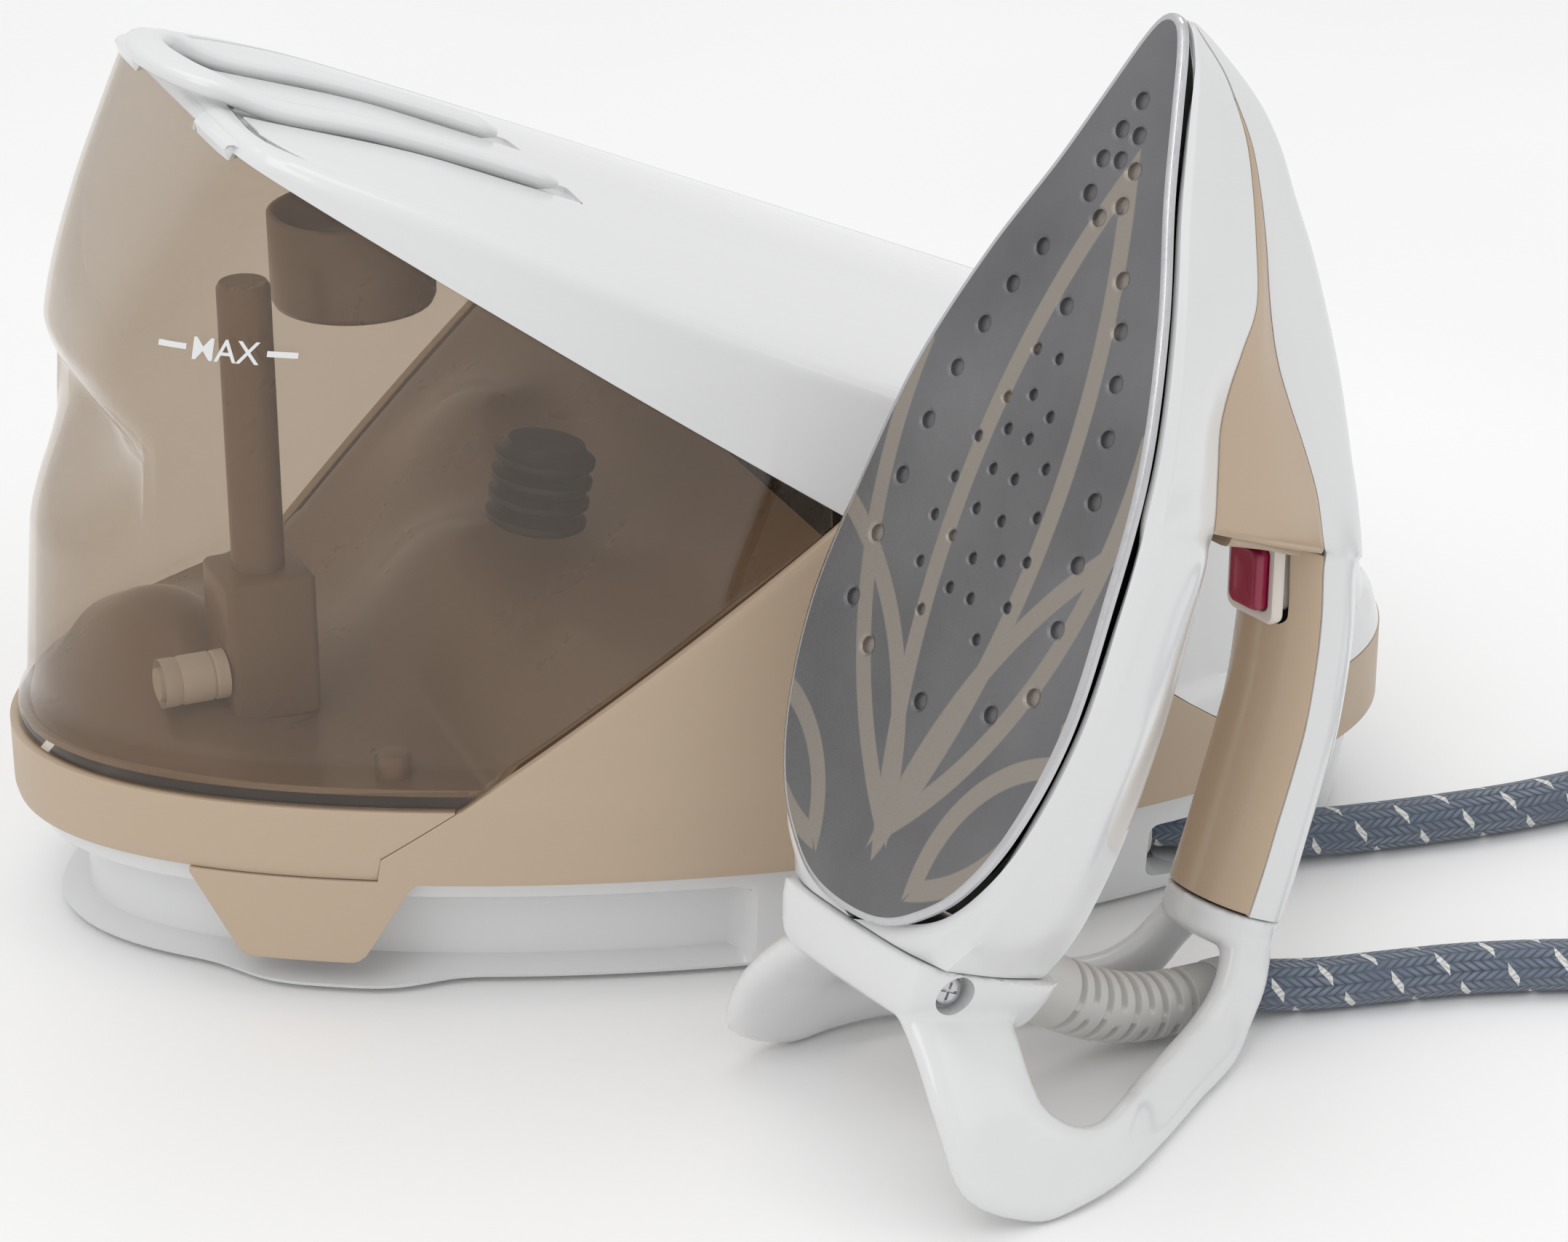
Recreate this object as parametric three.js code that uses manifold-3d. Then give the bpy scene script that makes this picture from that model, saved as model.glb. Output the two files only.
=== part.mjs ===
// Steam generator iron: base station with a removable tinted tank, and the iron standing on its heel.
// Millimetres, +Z up, +X from the tank end to the rear end, -Y the side where the iron stands.
import * as THREE from 'three';
import Module from 'manifold-3d';

const wasm = await Module();
wasm.setup();
const { Manifold } = wasm;

// ---------- driving dimensions: base ----------
const NOSE_X = -218;          // front end of the base outline
const REAR_X = 197;           // rear end of the base outline
const WIDE_X = 12;            // station of the widest part
const HALF_W = 133;           // half width there
const REAR_POWER = 3.4;       // bluntness of the rear end
const BAND_Z0 = 37.3;         // lower edge of the beige band
const BAND_Z1 = 60.0;         // upper edge of the beige band
const RIM_Z = 131.6;          // rim line height at x = 0
const RIM_SLOPE = -0.695;
const TOP_Z = 174.2;          // rest surface height at x = 0, at its side edges
const TOP_SLOPE = -0.439;
const PANEL_X0 = -117;        // foot of the sloped joint between tank and side housing
const PANEL_SLOPE = 0.775;
const TRAY_INSET = 13;
const GROOVE_INSET = 21;
const GROOVE_END_X = -42;
const GAP = 0.3;
const OUTLET_AT = new THREE.Vector3(84.5, -100.6, 17);
const OUTLET_DIR = new THREE.Vector3(0.966, -0.258, 0);

// ---------- driving dimensions: iron (own frame: X heel to tip, Y side, Z away from the sole) ----------
const IRON_AT = new THREE.Vector3(-53.5, -213.3, 73.4);
const IRON_YAW = THREE.MathUtils.degToRad(11.8);
const IRON_LEAN = THREE.MathUtils.degToRad(24.35);
const SOLE_T = 2.6;
const HANDLE_A = 17;          // grip half width
const HANDLE_C = 16;          // grip half depth

// ---------- driving dimensions: hose ----------
const HOSE_D = 14.5;
const COIL_R = 80;
const COIL_AT = new THREE.Vector3(330, -224, 0);

const group = new THREE.Group();
group.name = 'steam_generator_iron';
const V = (x, y, z) => new THREE.Vector3(x, y, z);
const clamp = THREE.MathUtils.clamp;
const lerp = THREE.MathUtils.lerp;
const smooth = THREE.MathUtils.smoothstep;

// Piecewise linear table lookup over rows [key, value].
function along(rows, k) {
  if (k <= rows[0][0]) return rows[0][1];
  for (let i = 1; i < rows.length; i++) {
    if (k <= rows[i][0]) {
      const t = (k - rows[i - 1][0]) / (rows[i][0] - rows[i - 1][0]);
      return lerp(rows[i - 1][1], rows[i][1], t);
    }
  }
  return rows[rows.length - 1][1];
}

// ---------- solids ----------
function toGeometry(positions, index) {
  const g = new THREE.BufferGeometry();
  g.setAttribute('position', new THREE.Float32BufferAttribute(positions, 3));
  g.setIndex(index);
  return g;
}

// Closed solid through rings of equal length; each end is a fan about its middle.
function loft(rings) {
  const n = rings[0].length;
  const pos = [];
  const idx = [];
  for (const ring of rings) for (const p of ring) pos.push(p.x, p.y, p.z);
  for (let r = 0; r + 1 < rings.length; r++) {
    for (let i = 0; i < n; i++) {
      const a = r * n + i;
      const b = r * n + ((i + 1) % n);
      idx.push(a, b, b + n, a, b + n, a + n);
    }
  }
  const cap = (ring, start, flip) => {
    const c = new THREE.Vector3();
    for (const p of ring) c.add(p);
    c.divideScalar(n);
    const k = pos.length / 3;
    pos.push(c.x, c.y, c.z);
    for (let i = 0; i < n; i++) {
      const a = start + i;
      const b = start + ((i + 1) % n);
      if (flip) idx.push(k, b, a);
      else idx.push(k, a, b);
    }
  };
  cap(rings[0], 0, true);
  cap(rings[rings.length - 1], (rings.length - 1) * n, false);
  return toGeometry(pos, idx);
}

// Arch-shaped strip: each station has an outer line and an inner line of the same count.
function archLoft(stations) {
  const m = stations[0].outer.length;
  const n = 2 * m;
  const pos = [];
  const idx = [];
  for (const s of stations) {
    for (const p of s.outer) pos.push(p.x, p.y, p.z);
    for (let i = m - 1; i >= 0; i--) pos.push(s.inner[i].x, s.inner[i].y, s.inner[i].z);
  }
  for (let r = 0; r + 1 < stations.length; r++) {
    for (let i = 0; i < n; i++) {
      const a = r * n + i;
      const b = r * n + ((i + 1) % n);
      idx.push(a, b, b + n, a, b + n, a + n);
    }
  }
  const cap = (start, flip) => {
    for (let i = 0; i + 1 < m; i++) {
      const a = start + i;
      const b = start + i + 1;
      const c = start + n - 2 - i;
      const d = start + n - 1 - i;
      if (flip) idx.push(a, c, b, a, d, c);
      else idx.push(a, b, c, a, c, d);
    }
  };
  cap(0, true);
  cap((stations.length - 1) * n, false);
  return toGeometry(pos, idx);
}

function solid(geometry) {
  const src = geometry.index ? geometry.toNonIndexed() : geometry;
  const flat = src.getAttribute('position').array;
  const seen = new Map();
  const verts = [];
  const tris = [];
  for (let i = 0; i < flat.length; i += 3) {
    const key = [0, 1, 2].map((k) => Math.round(flat[i + k] * 1e4)).join();
    if (!seen.has(key)) {
      seen.set(key, verts.length / 3);
      verts.push(flat[i], flat[i + 1], flat[i + 2]);
    }
    tris.push(seen.get(key));
  }
  const keep = [];
  for (let i = 0; i < tris.length; i += 3) {
    const [a, b, c] = [tris[i], tris[i + 1], tris[i + 2]];
    if (a !== b && b !== c && c !== a) keep.push(a, b, c);
  }
  const mesh = new wasm.Mesh({
    numProp: 3,
    vertProperties: new Float32Array(verts),
    triVerts: new Uint32Array(keep),
  });
  let m = new Manifold(mesh);
  if (m.volume() < 0) {
    for (let i = 0; i < keep.length; i += 3) [keep[i + 1], keep[i + 2]] = [keep[i + 2], keep[i + 1]];
    mesh.triVerts = new Uint32Array(keep);
    m = new Manifold(mesh);
  }
  return m;
}

function geometryOf(m) {
  const mesh = m.getMesh();
  const g = new THREE.BufferGeometry();
  const p = new Float32Array(mesh.numVert * 3);
  for (let i = 0; i < mesh.numVert; i++) {
    for (let k = 0; k < 3; k++) p[3 * i + k] = mesh.vertProperties[i * mesh.numProp + k];
  }
  g.setAttribute('position', new THREE.BufferAttribute(p, 3));
  g.setIndex([...mesh.triVerts]);
  return g;
}

function box(x0, x1, y0, y1, z0, z1) {
  const g = new THREE.BoxGeometry(x1 - x0, y1 - y0, z1 - z0);
  g.translate((x0 + x1) / 2, (y0 + y1) / 2, (z0 + z1) / 2);
  return g;
}

// Straight cylinder between two points.
function rod(a, b, r, sides = 16) {
  const dir = b.clone().sub(a);
  const g = new THREE.CylinderGeometry(r, r, dir.length(), sides);
  g.applyQuaternion(new THREE.Quaternion().setFromUnitVectors(V(0, 1, 0), dir.clone().normalize()));
  g.translate((a.x + b.x) / 2, (a.y + b.y) / 2, (a.z + b.z) / 2);
  return g;
}

function turned(profile, sides = 28) {
  return new THREE.LatheGeometry(profile.map(([r, z]) => new THREE.Vector2(r, z)), sides);
}

function material(hex, roughness, metalness = 0, opacity = 1) {
  return new THREE.MeshStandardMaterial({
    color: hex,
    roughness,
    metalness,
    opacity,
    transparent: opacity < 1,
  });
}
const WHITE = () => material(0xf2f2f0, 0.25);
const BEIGE = () => material(0xc8b298, 0.5);
const BLACK = () => material(0x1a1a1c, 0.6);
const METAL = () => material(0x9a9a9e, 0.35, 0.9);
const GREY = () => material(0x8f9091, 0.45);

const iron = new THREE.Group();
iron.name = 'iron_frame';
{
  const h = V(Math.cos(IRON_YAW), Math.sin(IRON_YAW), 0);
  const up = V(0, 0, 1);
  const along1 = h.clone().multiplyScalar(Math.sin(IRON_LEAN)).addScaledVector(up, Math.cos(IRON_LEAN));
  const depth = h.clone().multiplyScalar(Math.cos(IRON_LEAN)).addScaledVector(up, -Math.sin(IRON_LEAN));
  const side = depth.clone().cross(along1);
  iron.matrixAutoUpdate = false;
  iron.matrix.makeBasis(along1, side, depth).setPosition(IRON_AT);
}
group.add(iron);

function add(name, geometry, mat, parent = group) {
  const mesh = new THREE.Mesh(geometry, mat);
  mesh.name = name;
  parent.add(mesh);
  return mesh;
}

// ---------- base outline ----------
const OUTLINE = (() => {
  const near = [];
  const f = [V(NOSE_X, 0, 0), V(NOSE_X, -0.6 * HALF_W, 0), V(WIDE_X - 60, -HALF_W, 0), V(WIDE_X, -HALF_W, 0)];
  const front = new THREE.CubicBezierCurve3(...f);
  for (const t of [0, 0.06, 0.12, 0.2, 0.3, 0.4, 0.5, 0.62, 0.74, 0.87]) near.push(front.getPoint(t));
  const L = REAR_X - WIDE_X;
  for (const d of [90, 80, 60, 45, 33, 22, 12, 5, 1.2]) {
    const a = THREE.MathUtils.degToRad(d);
    const e = 2 / REAR_POWER;
    near.push(V(WIDE_X + L * Math.cos(a) ** e, -HALF_W * Math.sin(a) ** e, 0));
  }
  near.push(V(REAR_X, 0, 0));
  const far = near.slice(1, -1).reverse().map((p) => V(p.x, -p.y, 0));
  const ring = [...near, ...far];
  const n = ring.length;
  const normals = ring.map((p, i) => {
    const t = ring[(i + 1) % n].clone().sub(ring[(i + n - 1) % n]);
    return V(-t.y, t.x, 0).normalize();
  });
  return { ring, normals };
})();

// Front wall of the tank: it leans back towards the top, with a finger scoop under the nose.
const FRONT_WALL = [[60, -240], [90, -222], [118, -213], [150, -203.5], [170, -199], [185, -194],
  [205, -184], [224, -172.5], [242, -161.5], [262, -150]];
const SCOOP = [[117, 0], [126, 2], [136, 7], [146, 13.5], [153, 16], [158, 12], [164, 6], [170, 2], [175, 0]];

function frontShift(x, y, z) {
  const wall = along(FRONT_WALL, z);
  const soft = 14;
  const base = (x + wall + Math.sqrt((x - wall) ** 2 + soft * soft)) / 2;
  const span = clamp(1 - (y / 46) ** 2, 0, 1) ** 0.8;
  const facing = smooth(-x, 120, 160);
  return base + along(SCOOP, z) * span * facing;
}

// One ring of the outline at height z; inset is a function of x.
function ringAt(z, inset, leaning = true) {
  return OUTLINE.ring.map((p, i) => {
    const k = inset(p.x);
    const q = p.clone().addScaledVector(OUTLINE.normals[i], k);
    if (leaning && z > BAND_Z1) q.x = frontShift(q.x, q.y, z);
    q.z = z;
    return q;
  });
}
const rimZ = (x) => RIM_Z + RIM_SLOPE * x;
const crown = (x) => lerp(4, 10, smooth(x, -165, -90));
const topZ = (x, y) => TOP_Z + TOP_SLOPE * x + crown(x) * (1 - (y / 115) ** 2);
const wallInset = (z) => along([[60, 2.4], [67, 3.0], [70, 5.6], [180, 8], [262, 14]], z);
const frameInset = (x, z) => wallInset(z) + 0.2 * Math.max(0, z - Math.max(rimZ(x), BAND_Z1));

// Big flat-sided cutters, extruded across the base, for the rim line and the sloped joint.
function sideCutter(points) {
  const s = new THREE.Shape(points.map(([x, z]) => new THREE.Vector2(x, z)));
  const g = new THREE.ExtrudeGeometry(s, { depth: 400, bevelEnabled: false });
  g.rotateX(Math.PI / 2);
  g.translate(0, 200, 0);
  return g;
}
const belowRim = (drop) => solid(sideCutter([[-300, -10], [300, -10],
  [300, Math.max(rimZ(300), BAND_Z1) - drop], [(RIM_Z - BAND_Z1) / -RIM_SLOPE, BAND_Z1 - drop],
  [-300, rimZ(-300) - drop]]));
const panelZ = (x) => BAND_Z1 + PANEL_SLOPE * (x - PANEL_X0);
const aheadOfPanel = (back) => solid(sideCutter([[-300, -20], [PANEL_X0 - back, -20],
  [PANEL_X0 - back, BAND_Z1], [200 - back, panelZ(200)], [200 - back, 400], [-300, 400]]));
const behindPanel = (ahead) => solid(sideCutter([[PANEL_X0 + ahead, -20], [PANEL_X0 + ahead, BAND_Z1],
  [200 + ahead, panelZ(200)], [320, panelZ(200)], [320, -20]]));

const LEVELS = [60.3, 67, 70, 90, 117, 136, 146, 153, 160, 170, 190, 215, 240, 262];

// ---------- base: tray ----------
{
  const groove = (x, deep, plain) => lerp(plain, deep, smooth(-x, -GROOVE_END_X - 4, -GROOVE_END_X + 4));
  const bulge = (x) => 8 * Math.exp(-(((x + 152) / 26) ** 4));
  const rings = [
    ringAt(2, (x) => TRAY_INSET - bulge(x) + 1.5),
    ringAt(3.4, (x) => TRAY_INSET - bulge(x)),
    ringAt(6, (x) => groove(x, GROOVE_INSET, TRAY_INSET - 0.5)),
    ringAt(27, (x) => groove(x, GROOVE_INSET, 9.5)),
    ringAt(29, (x) => groove(x, 9.5, 9)),
    ringAt(36.6, () => 7.5),
    ringAt(36.9, () => 8),
  ];
  const hollow = [ringAt(5, () => 26), ringAt(40, () => 26)];
  const pocket = loft([ // hose pocket in the near side wall
    [V(84, -130, 7.5), V(146, -130, 0.5), V(146, -130, 25), V(84, -130, 26)],
    [V(90, -92, 8.5), V(146, -101, 1), V(146, -101, 24), V(90, -92, 25)],
  ]);
  const outletAhead = OUTLET_AT.clone().addScaledVector(OUTLET_DIR, 12);
  const outletBehind = OUTLET_AT.clone().addScaledVector(OUTLET_DIR, -16);
  const bore = rod(outletAhead, outletBehind, 10.6, 20);
  const inlet = rod(V(150, 130, 20), V(150, 80, 20), 8.3, 20);
  const button = rod(V(120, -40, 30), V(120, -40, 0), 6.3, 20);
  let m = solid(loft(rings)).subtract(solid(loft(hollow)));
  const seat = solid(loft([ringAt(36, () => 9.5), ringAt(59.8, () => 9.5)]));
  m = m.add(seat.intersect(solid(box(-300, -124, -200, 200, 0, 100))));
  m = m.subtract(solid(pocket)).subtract(solid(bore)).subtract(solid(inlet)).subtract(solid(button));
  add('base_tray', geometryOf(m), WHITE());
}

// ---------- base: side housing with its hanging tab ----------
{
  const outer = [37.3, 60, 67, 110, 160].map((z) =>
    ringAt(z, () => along([[37.3, 2.6], [40, 1.9], [60, 2.0], [67, 2.6], [160, 5.5]], z), false));
  const inner = [30, 170].map((z) => ringAt(z, () => 8.5, false));
  const notch = solid(sideCutter([[-150, 44], [PANEL_X0 - 10, 44], [PANEL_X0 + 6, BAND_Z1], [-150, BAND_Z1]]));
  let wall = solid(loft(outer)).subtract(solid(loft(inner)));
  const body = wall.intersect(belowRim(0.2)).intersect(behindPanel(0));
  const corner = wall.intersect(solid(sideCutter([[-138, 37], [-100, 37], [-100, 44.5], [-117.5, 59.5],
    [-137.2, 43.8]])));
  const slab = solid(loft([ringAt(11.5, () => 1.9, false), ringAt(44, () => 1.9, false)]))
    .subtract(solid(loft([ringAt(5, () => 5.4, false), ringAt(50, () => 5.4, false)])));
  const tab = slab.intersect(solid(sideCutter([[-185, 37.6], [-174, 14], [-171, 12], [-146, 12],
    [-142.5, 14], [-127, 43], [-137.5, 43], [-137.5, 37.6]])));
  const m = Manifold.union([body, corner, tab]).subtract(notch.subtract(wall.intersect(behindPanel(0))));
  add('side_housing', geometryOf(m), BEIGE());
}

// ---------- base: bulkhead behind the tank ----------
{
  const z0 = BAND_Z0 + 3;
  const slab = solid(sideCutter([[PANEL_X0 + 5, z0], [PANEL_X0 + 8, z0], [PANEL_X0 + 8, 60],
    [-22, panelZ(-30)], [-25, panelZ(-30)], [PANEL_X0 + 5, 60]]));
  const within = solid(loft([ringAt(30, () => 9, false), ringAt(170, () => 9, false)]));
  const m = slab.intersect(within);
  add('bulkhead', geometryOf(m), BEIGE());
}

// ---------- base: band at the foot of the tank ----------
{
  const outer = solid(loft([38.6, 41, 59.7].map((z) => ringAt(z, () => (z < 40 ? 2.4 : 1.9), false))));
  const inner = solid(loft([30, 70].map((z) => ringAt(z, () => 5, false))));
  const cut = solid(sideCutter([[-300, 0], [-138.6, 0], [-138.6, 44.6], [-118.3, 59.9], [-118.3, 80],
    [-300, 80]]));
  add('tank_band', geometryOf(outer.subtract(inner).intersect(cut)), BEIGE());
}

// ---------- base: water tank ----------
{
  const skin = LEVELS.map((z) => ringAt(z, () => wallInset(z)));
  const inside = LEVELS.map((z) => {
    const ring = ringAt(Math.max(z, 63.3), () => wallInset(z) + 2.6);
    for (const p of ring) p.x += p.x < -90 ? 2.2 : 0;
    return ring;
  });
  let tank = solid(loft(skin)).intersect(belowRim(0.4)).intersect(aheadOfPanel(GAP));
  const cavity = solid(loft(inside)).intersect(belowRim(3.4)).intersect(aheadOfPanel(GAP + 3.4));
  tank = tank.subtract(cavity);
  const filler = solid(rod(V(-110, 0, 172), V(-110, 0, 230), 24, 28));
  tank = tank.subtract(filler);
  add('water_tank', geometryOf(tank), material(0x6d5a4a, 0.06, 0, 0.45));
  const collar = solid(rod(V(-110, 0, 176), V(-110, 0, 203), 23.5, 28));
  const bore = solid(rod(V(-110, 0, 170), V(-110, 0, 215), 21.5, 28));
  add('filler_collar', geometryOf(collar.subtract(bore)), material(0x6d5a4a, 0.1, 0, 0.5));
  const foot = solid(rod(V(-150, -28, 63.7), V(-150, -28, 70), 16, 20));
  const stem = solid(rod(V(-150, -28, 69), V(-150, -28, 196), 7.5, 16));
  const cage = solid(box(-163, -137, -41, -15, 69, 112));
  add('tank_valve', geometryOf(Manifold.union([foot, stem, cage])), material(0x6d5a4a, 0.2, 0, 0.6));
  const pick = solid(rod(V(-183, -35, 84), V(-163.4, -35, 84), 7, 16));
  const neck = solid(rod(V(-164, -35, 84), V(-163.3, -35, 84), 5, 16));
  add('outlet_nozzle', geometryOf(pick.add(neck)), material(0xd8cfc2, 0.4));
  add('latch_peg', rod(V(-129, -78, 63.6), V(-129, -78, 72), 5, 16), material(0x9c8a78, 0.3));
}

// ---------- base: white top frame ----------
function cap(inset, lift, outlineZ) { // everything above the crowned rest surface, raised by lift
  const rings = [];
  const outer = OUTLINE.ring.map((p, i) => p.clone().addScaledVector(OUTLINE.normals[i], inset));
  const steps = [1, 0.72, 0.42];
  const place = (f, z) => outer.map((p) => {
    const x = p.x * f;
    const y = p.y * f;
    return V(x, y, z === null ? topZ(x, y) + lift : z);
  });
  rings.push(place(1, outlineZ));
  for (const f of steps) rings.push(place(f, null));
  return rings;
}
{
  const levels = [60.3, 75, 95, 117, 136, 146, 153, 160, 170, 190, 215, 240, 262];
  const skin = levels.map((z) => ringAt(z, (x) => frameInset(x, z)));
  const inside = levels.map((z, i) => {
    const ring = ringAt(i ? z : 50, (x) => frameInset(x, z) + 3);
    for (const p of ring) p.x += p.x < -90 ? 3 : 0;
    return ring;
  });
  const under = (lift) => solid(loft([...cap(-14, lift, 0)]));
  const shell = solid(loft(skin)).intersect(under(0)).subtract(belowRim(0));
  const hollow = solid(loft(inside)).intersect(under(-6.5));
  let m = shell.subtract(hollow);
  const well = solid(loft([...cap(21, 3, 10)])).subtract(under(-3.3));
  m = m.subtract(well);
  const stub = solid(rod(V(212, 0, 78), V(150, 0, 78), 8.4, 24));
  m = m.subtract(stub);
  const parts = m.decompose().sort((a, b) => b.volume() - a.volume());
  add('top_frame', geometryOf(parts[0]), WHITE());
  // The plate the iron rests on, let into the frame, with two grooves for the hoop's arms.
  let plate = solid(loft([...cap(21.4, -0.05, 10)])).subtract(under(-3.0));
  plate = plate.intersect(solid(sideCutter([[-150, 0], [300, 0], [300, 400], [-150, 400]])));
  for (const s of [-1, 1]) {
    const y0 = s * 25 - 7;
    const arm = sideCutter([[-170, topZ(-170, 25) - 2], [-52, topZ(-52, 25) - 2], [-52, 400], [-170, 400]]);
    const lane = solid(arm).intersect(solid(box(-180, -40, y0, y0 + 14, 0, 400)));
    plate = plate.subtract(lane);
  }
  const bits = plate.decompose().sort((a, b) => b.volume() - a.volume());
  add('rest_plate', geometryOf(bits[0]), WHITE());
}

// ---------- base: locking hoop ----------
{
  const half = 25;
  const lift = 1.9;
  const path = [];
  const at = (x, y, up) => V(x, y, topZ(x, Math.min(Math.abs(y), half)) + up);
  for (const x of [-58, -85, -112, -138]) path.push(at(x, -half, lift));
  for (const d of [70, 45, 20, 0, -20, -45, -70]) {
    const a = THREE.MathUtils.degToRad(d);
    path.push(at(-146 - 19 * Math.cos(a), -half * Math.sin(a), lift + 2.5));
  }
  for (const x of [-138, -112, -85, -58]) path.push(at(x, half, lift));
  add('lock_hoop', geometryOf(solid(ovalTube(path, 36, 5.4, 2.9))), WHITE());
}

// Oval bar along a path, its wide axis kept level.
function ovalTube(points, steps, wide, thick, sides = 10) {
  const curve = new THREE.CatmullRomCurve3(points);
  const rings = [];
  for (let i = 0; i <= steps; i++) {
    const t = i / steps;
    const c = curve.getPoint(t);
    const d = curve.getTangent(t);
    const side = V(-d.y, d.x, 0).normalize();
    const up = side.clone().cross(d).multiplyScalar(-1).normalize();
    const k = Math.min(1, 0.55 + Math.min(i, steps - i) * 0.45);
    const ring = [];
    for (let j = 0; j < sides; j++) {
      const a = (j / sides) * Math.PI * 2;
      ring.push(c.clone().addScaledVector(side, k * wide * Math.cos(a)).addScaledVector(up, k * thick * Math.sin(a)));
    }
    rings.push(ring);
  }
  return loft(rings);
}

// ---------- base: inner parts ----------
{
  const shell = turned([[0, -46], [30, -46], [44, -38], [48, -26], [48, 28], [44, 40], [30, 46], [0, 46]], 24);
  shell.rotateX(Math.PI / 2);
  shell.rotateZ(Math.PI / 2);
  shell.translate(60, 18, 60);
  add('boiler', shell, METAL());
  add('steam_valve', rod(V(60, 18, 106.4), V(60, 18, 124), 12, 18), METAL());
  const ring = turned([[22, -3], [34, -3], [34, 3], [22, 3], [22, -3]], 24);
  ring.rotateX(Math.PI / 2);
  ring.translate(60, 18, 8.6);
  add('boiler_heater', ring, METAL());
  add('pump', rod(V(-62, -30, 58), V(-20, -30, 58), 17, 20), BLACK());
  add('control_board', box(-60, 0, 40, 84, 40, 43), material(0x2f5a3c, 0.6));
  add('scale_plug', turned([[0, 2.5], [6, 2.5], [6, 12], [4, 14], [0, 14]].map(([r, z]) => [r, z]), 20)
    .rotateX(Math.PI / 2).translate(120, -40, 0), GREY());
  add('mains_gland', turned([[0, 0], [7.9, 0], [7.9, 12], [5.5, 24], [0, 24]], 20)
    .translate(150, 0, 20).translate(0, 96, 0), BLACK());
  add('power_button', turned([[0, 0], [8, 0], [8, 9], [7, 11], [0, 11]], 20)
    .rotateZ(-Math.PI / 2).translate(181, 0, 78), GREY());
  const feet = [['foot_front_near', -120, -62], ['foot_front_far', -120, 62],
    ['foot_rear_near', 130, -78], ['foot_rear_far', 130, 78]];
  for (const [name, x, y] of feet) {
    const pad = turned([[0, 0], [8, 0], [9, 1], [9, 1.7], [0, 1.7]], 18);
    add(name, pad.rotateX(Math.PI / 2).translate(x, y, 0), BLACK());
  }
}

// ---------- iron: soleplate ----------
const SOLE = [[0, 0], [1.6, 14], [7, 25], [19, 38], [39, 48], [68, 53.5], [101, 51.5], [135, 46.8], [169, 35.5],
  [198, 22], [219, 13.6], [233, 8], [239.4, 4.2], [241.2, 0]];
const soleRing = (z, inset) => {
  const pts = [...SOLE, ...SOLE.slice(1, -1).reverse().map(([x, y]) => [x, -y])];
  const curve = new THREE.CatmullRomCurve3(pts.map(([x, y]) => V(x, y, 0)), true, 'centripetal');
  const ring = [];
  const n = 56;
  for (let i = 0; i < n; i++) {
    const p = curve.getPoint(i / n);
    const t = curve.getTangent(i / n);
    ring.push(V(p.x + t.y * inset, p.y - t.x * inset, z));
  }
  return ring.reverse();
};
const HOLES_BIG = [[175.5, 15.8], [163.8, 21.5], [151.5, 26.4], [138.4, 30.4], [123, 33.8], [107.1, 36],
  [90.5, 37.3], [72.7, 37.7], [63.5, 25.7], [164.1, 0], [57.5, 0], [218.3, 0], [210, 3.3], [201.5, 6.2],
  [202.7, 0], [192.4, 6.3], [187.5, 0]];
const HOLES_SMALL = [[151.4, 4.4], [137.2, 8.6], [140.5, 0], [130, 4.3], [125, 13.7], [119.2, 4.4], [113, 16.8],
  [101.9, 19], [108.2, 5.1], [99.2, 10], [96.4, 0], [89.4, 18.1], [87, 4.3], [78.5, 11.5]];
{
  const plate = solid(loft([soleRing(0, 1.4), soleRing(0.7, 0), soleRing(SOLE_T, 0.2)]));
  const cuts = [];
  const bore = (x, y, r) => cuts.push(solid(rod(V(x, y, -1), V(x, y, 1.7), r, 6)));
  for (const [list, r] of [[HOLES_BIG, 2.1], [HOLES_SMALL, 1.5]]) {
    for (const [x, y] of list) {
      bore(x, y, r);
      if (y) bore(x, -y, r);
    }
  }
  add('soleplate', geometryOf(plate.subtract(Manifold.union(cuts))), METAL(), iron);
  const shield = solid(loft([soleRing(SOLE_T + GAP, 3), soleRing(3.9, 3.2)]));
  const collar = solid(loft([soleRing(3.5, 6), soleRing(11, 6)])).intersect(solid(box(-10, 205, -60, 60, 0, 20)));
  add('heat_shield', geometryOf(shield.add(collar)), BLACK(), iron);
  add('heater_block', loft([[V(40, -24, 11.3), V(170, -14, 11.3), V(170, 14, 11.3), V(40, 24, 11.3)],
    [V(46, -20, 26), V(160, -12, 26), V(160, 12, 26), V(46, 20, 26)]]), METAL(), iron);
}

// ---------- iron: body sections ----------
// Rows: x, half width at the skirt's foot, foot height, joint with side panel (y, z), joint with spine (y, z), crown z.
const PROW = [
  [240.6, 1.8, 4.2, 1.6, 6.0, 1.4, 6.3, 8.5],
  [238, 5.2, 4.2, 3.6, 8.5, 3.4, 9.5, 15],
  [232, 9.6, 4.4, 6.4, 16.5, 6.1, 17.6, 28],
  [226, 12.6, 4.6, 8.3, 22.3, 8.0, 23.5, 39],
  [218, 15.6, 4.9, 10.3, 28.8, 9.8, 31.3, 49],
  [209, 19.2, 5.2, 12.8, 33.2, 12, 37, 57.5],
  [196, 24.4, 5.6, 16.4, 38, 14.6, 43.8, 71],
  [180, 31.8, 6.2, 21.3, 42, 17.2, 51.4, 85.5],
  [168, 37, 6.6, 24.3, 40, 17.6, 60, 96],
  [158, 41, 7.0, 25.8, 39, 17.6, 70, 103.5],
  [148, 44.4, 7.4, 27.3, 39.4, 17.6, 81, 110.5],
  [137, 47.6, 7.8, 29.2, 42.4, 17.6, 92, 118.5],
  [124, 50.4, 8.2, 30.7, 46.5, 17.4, 102, 127],
];
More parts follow.
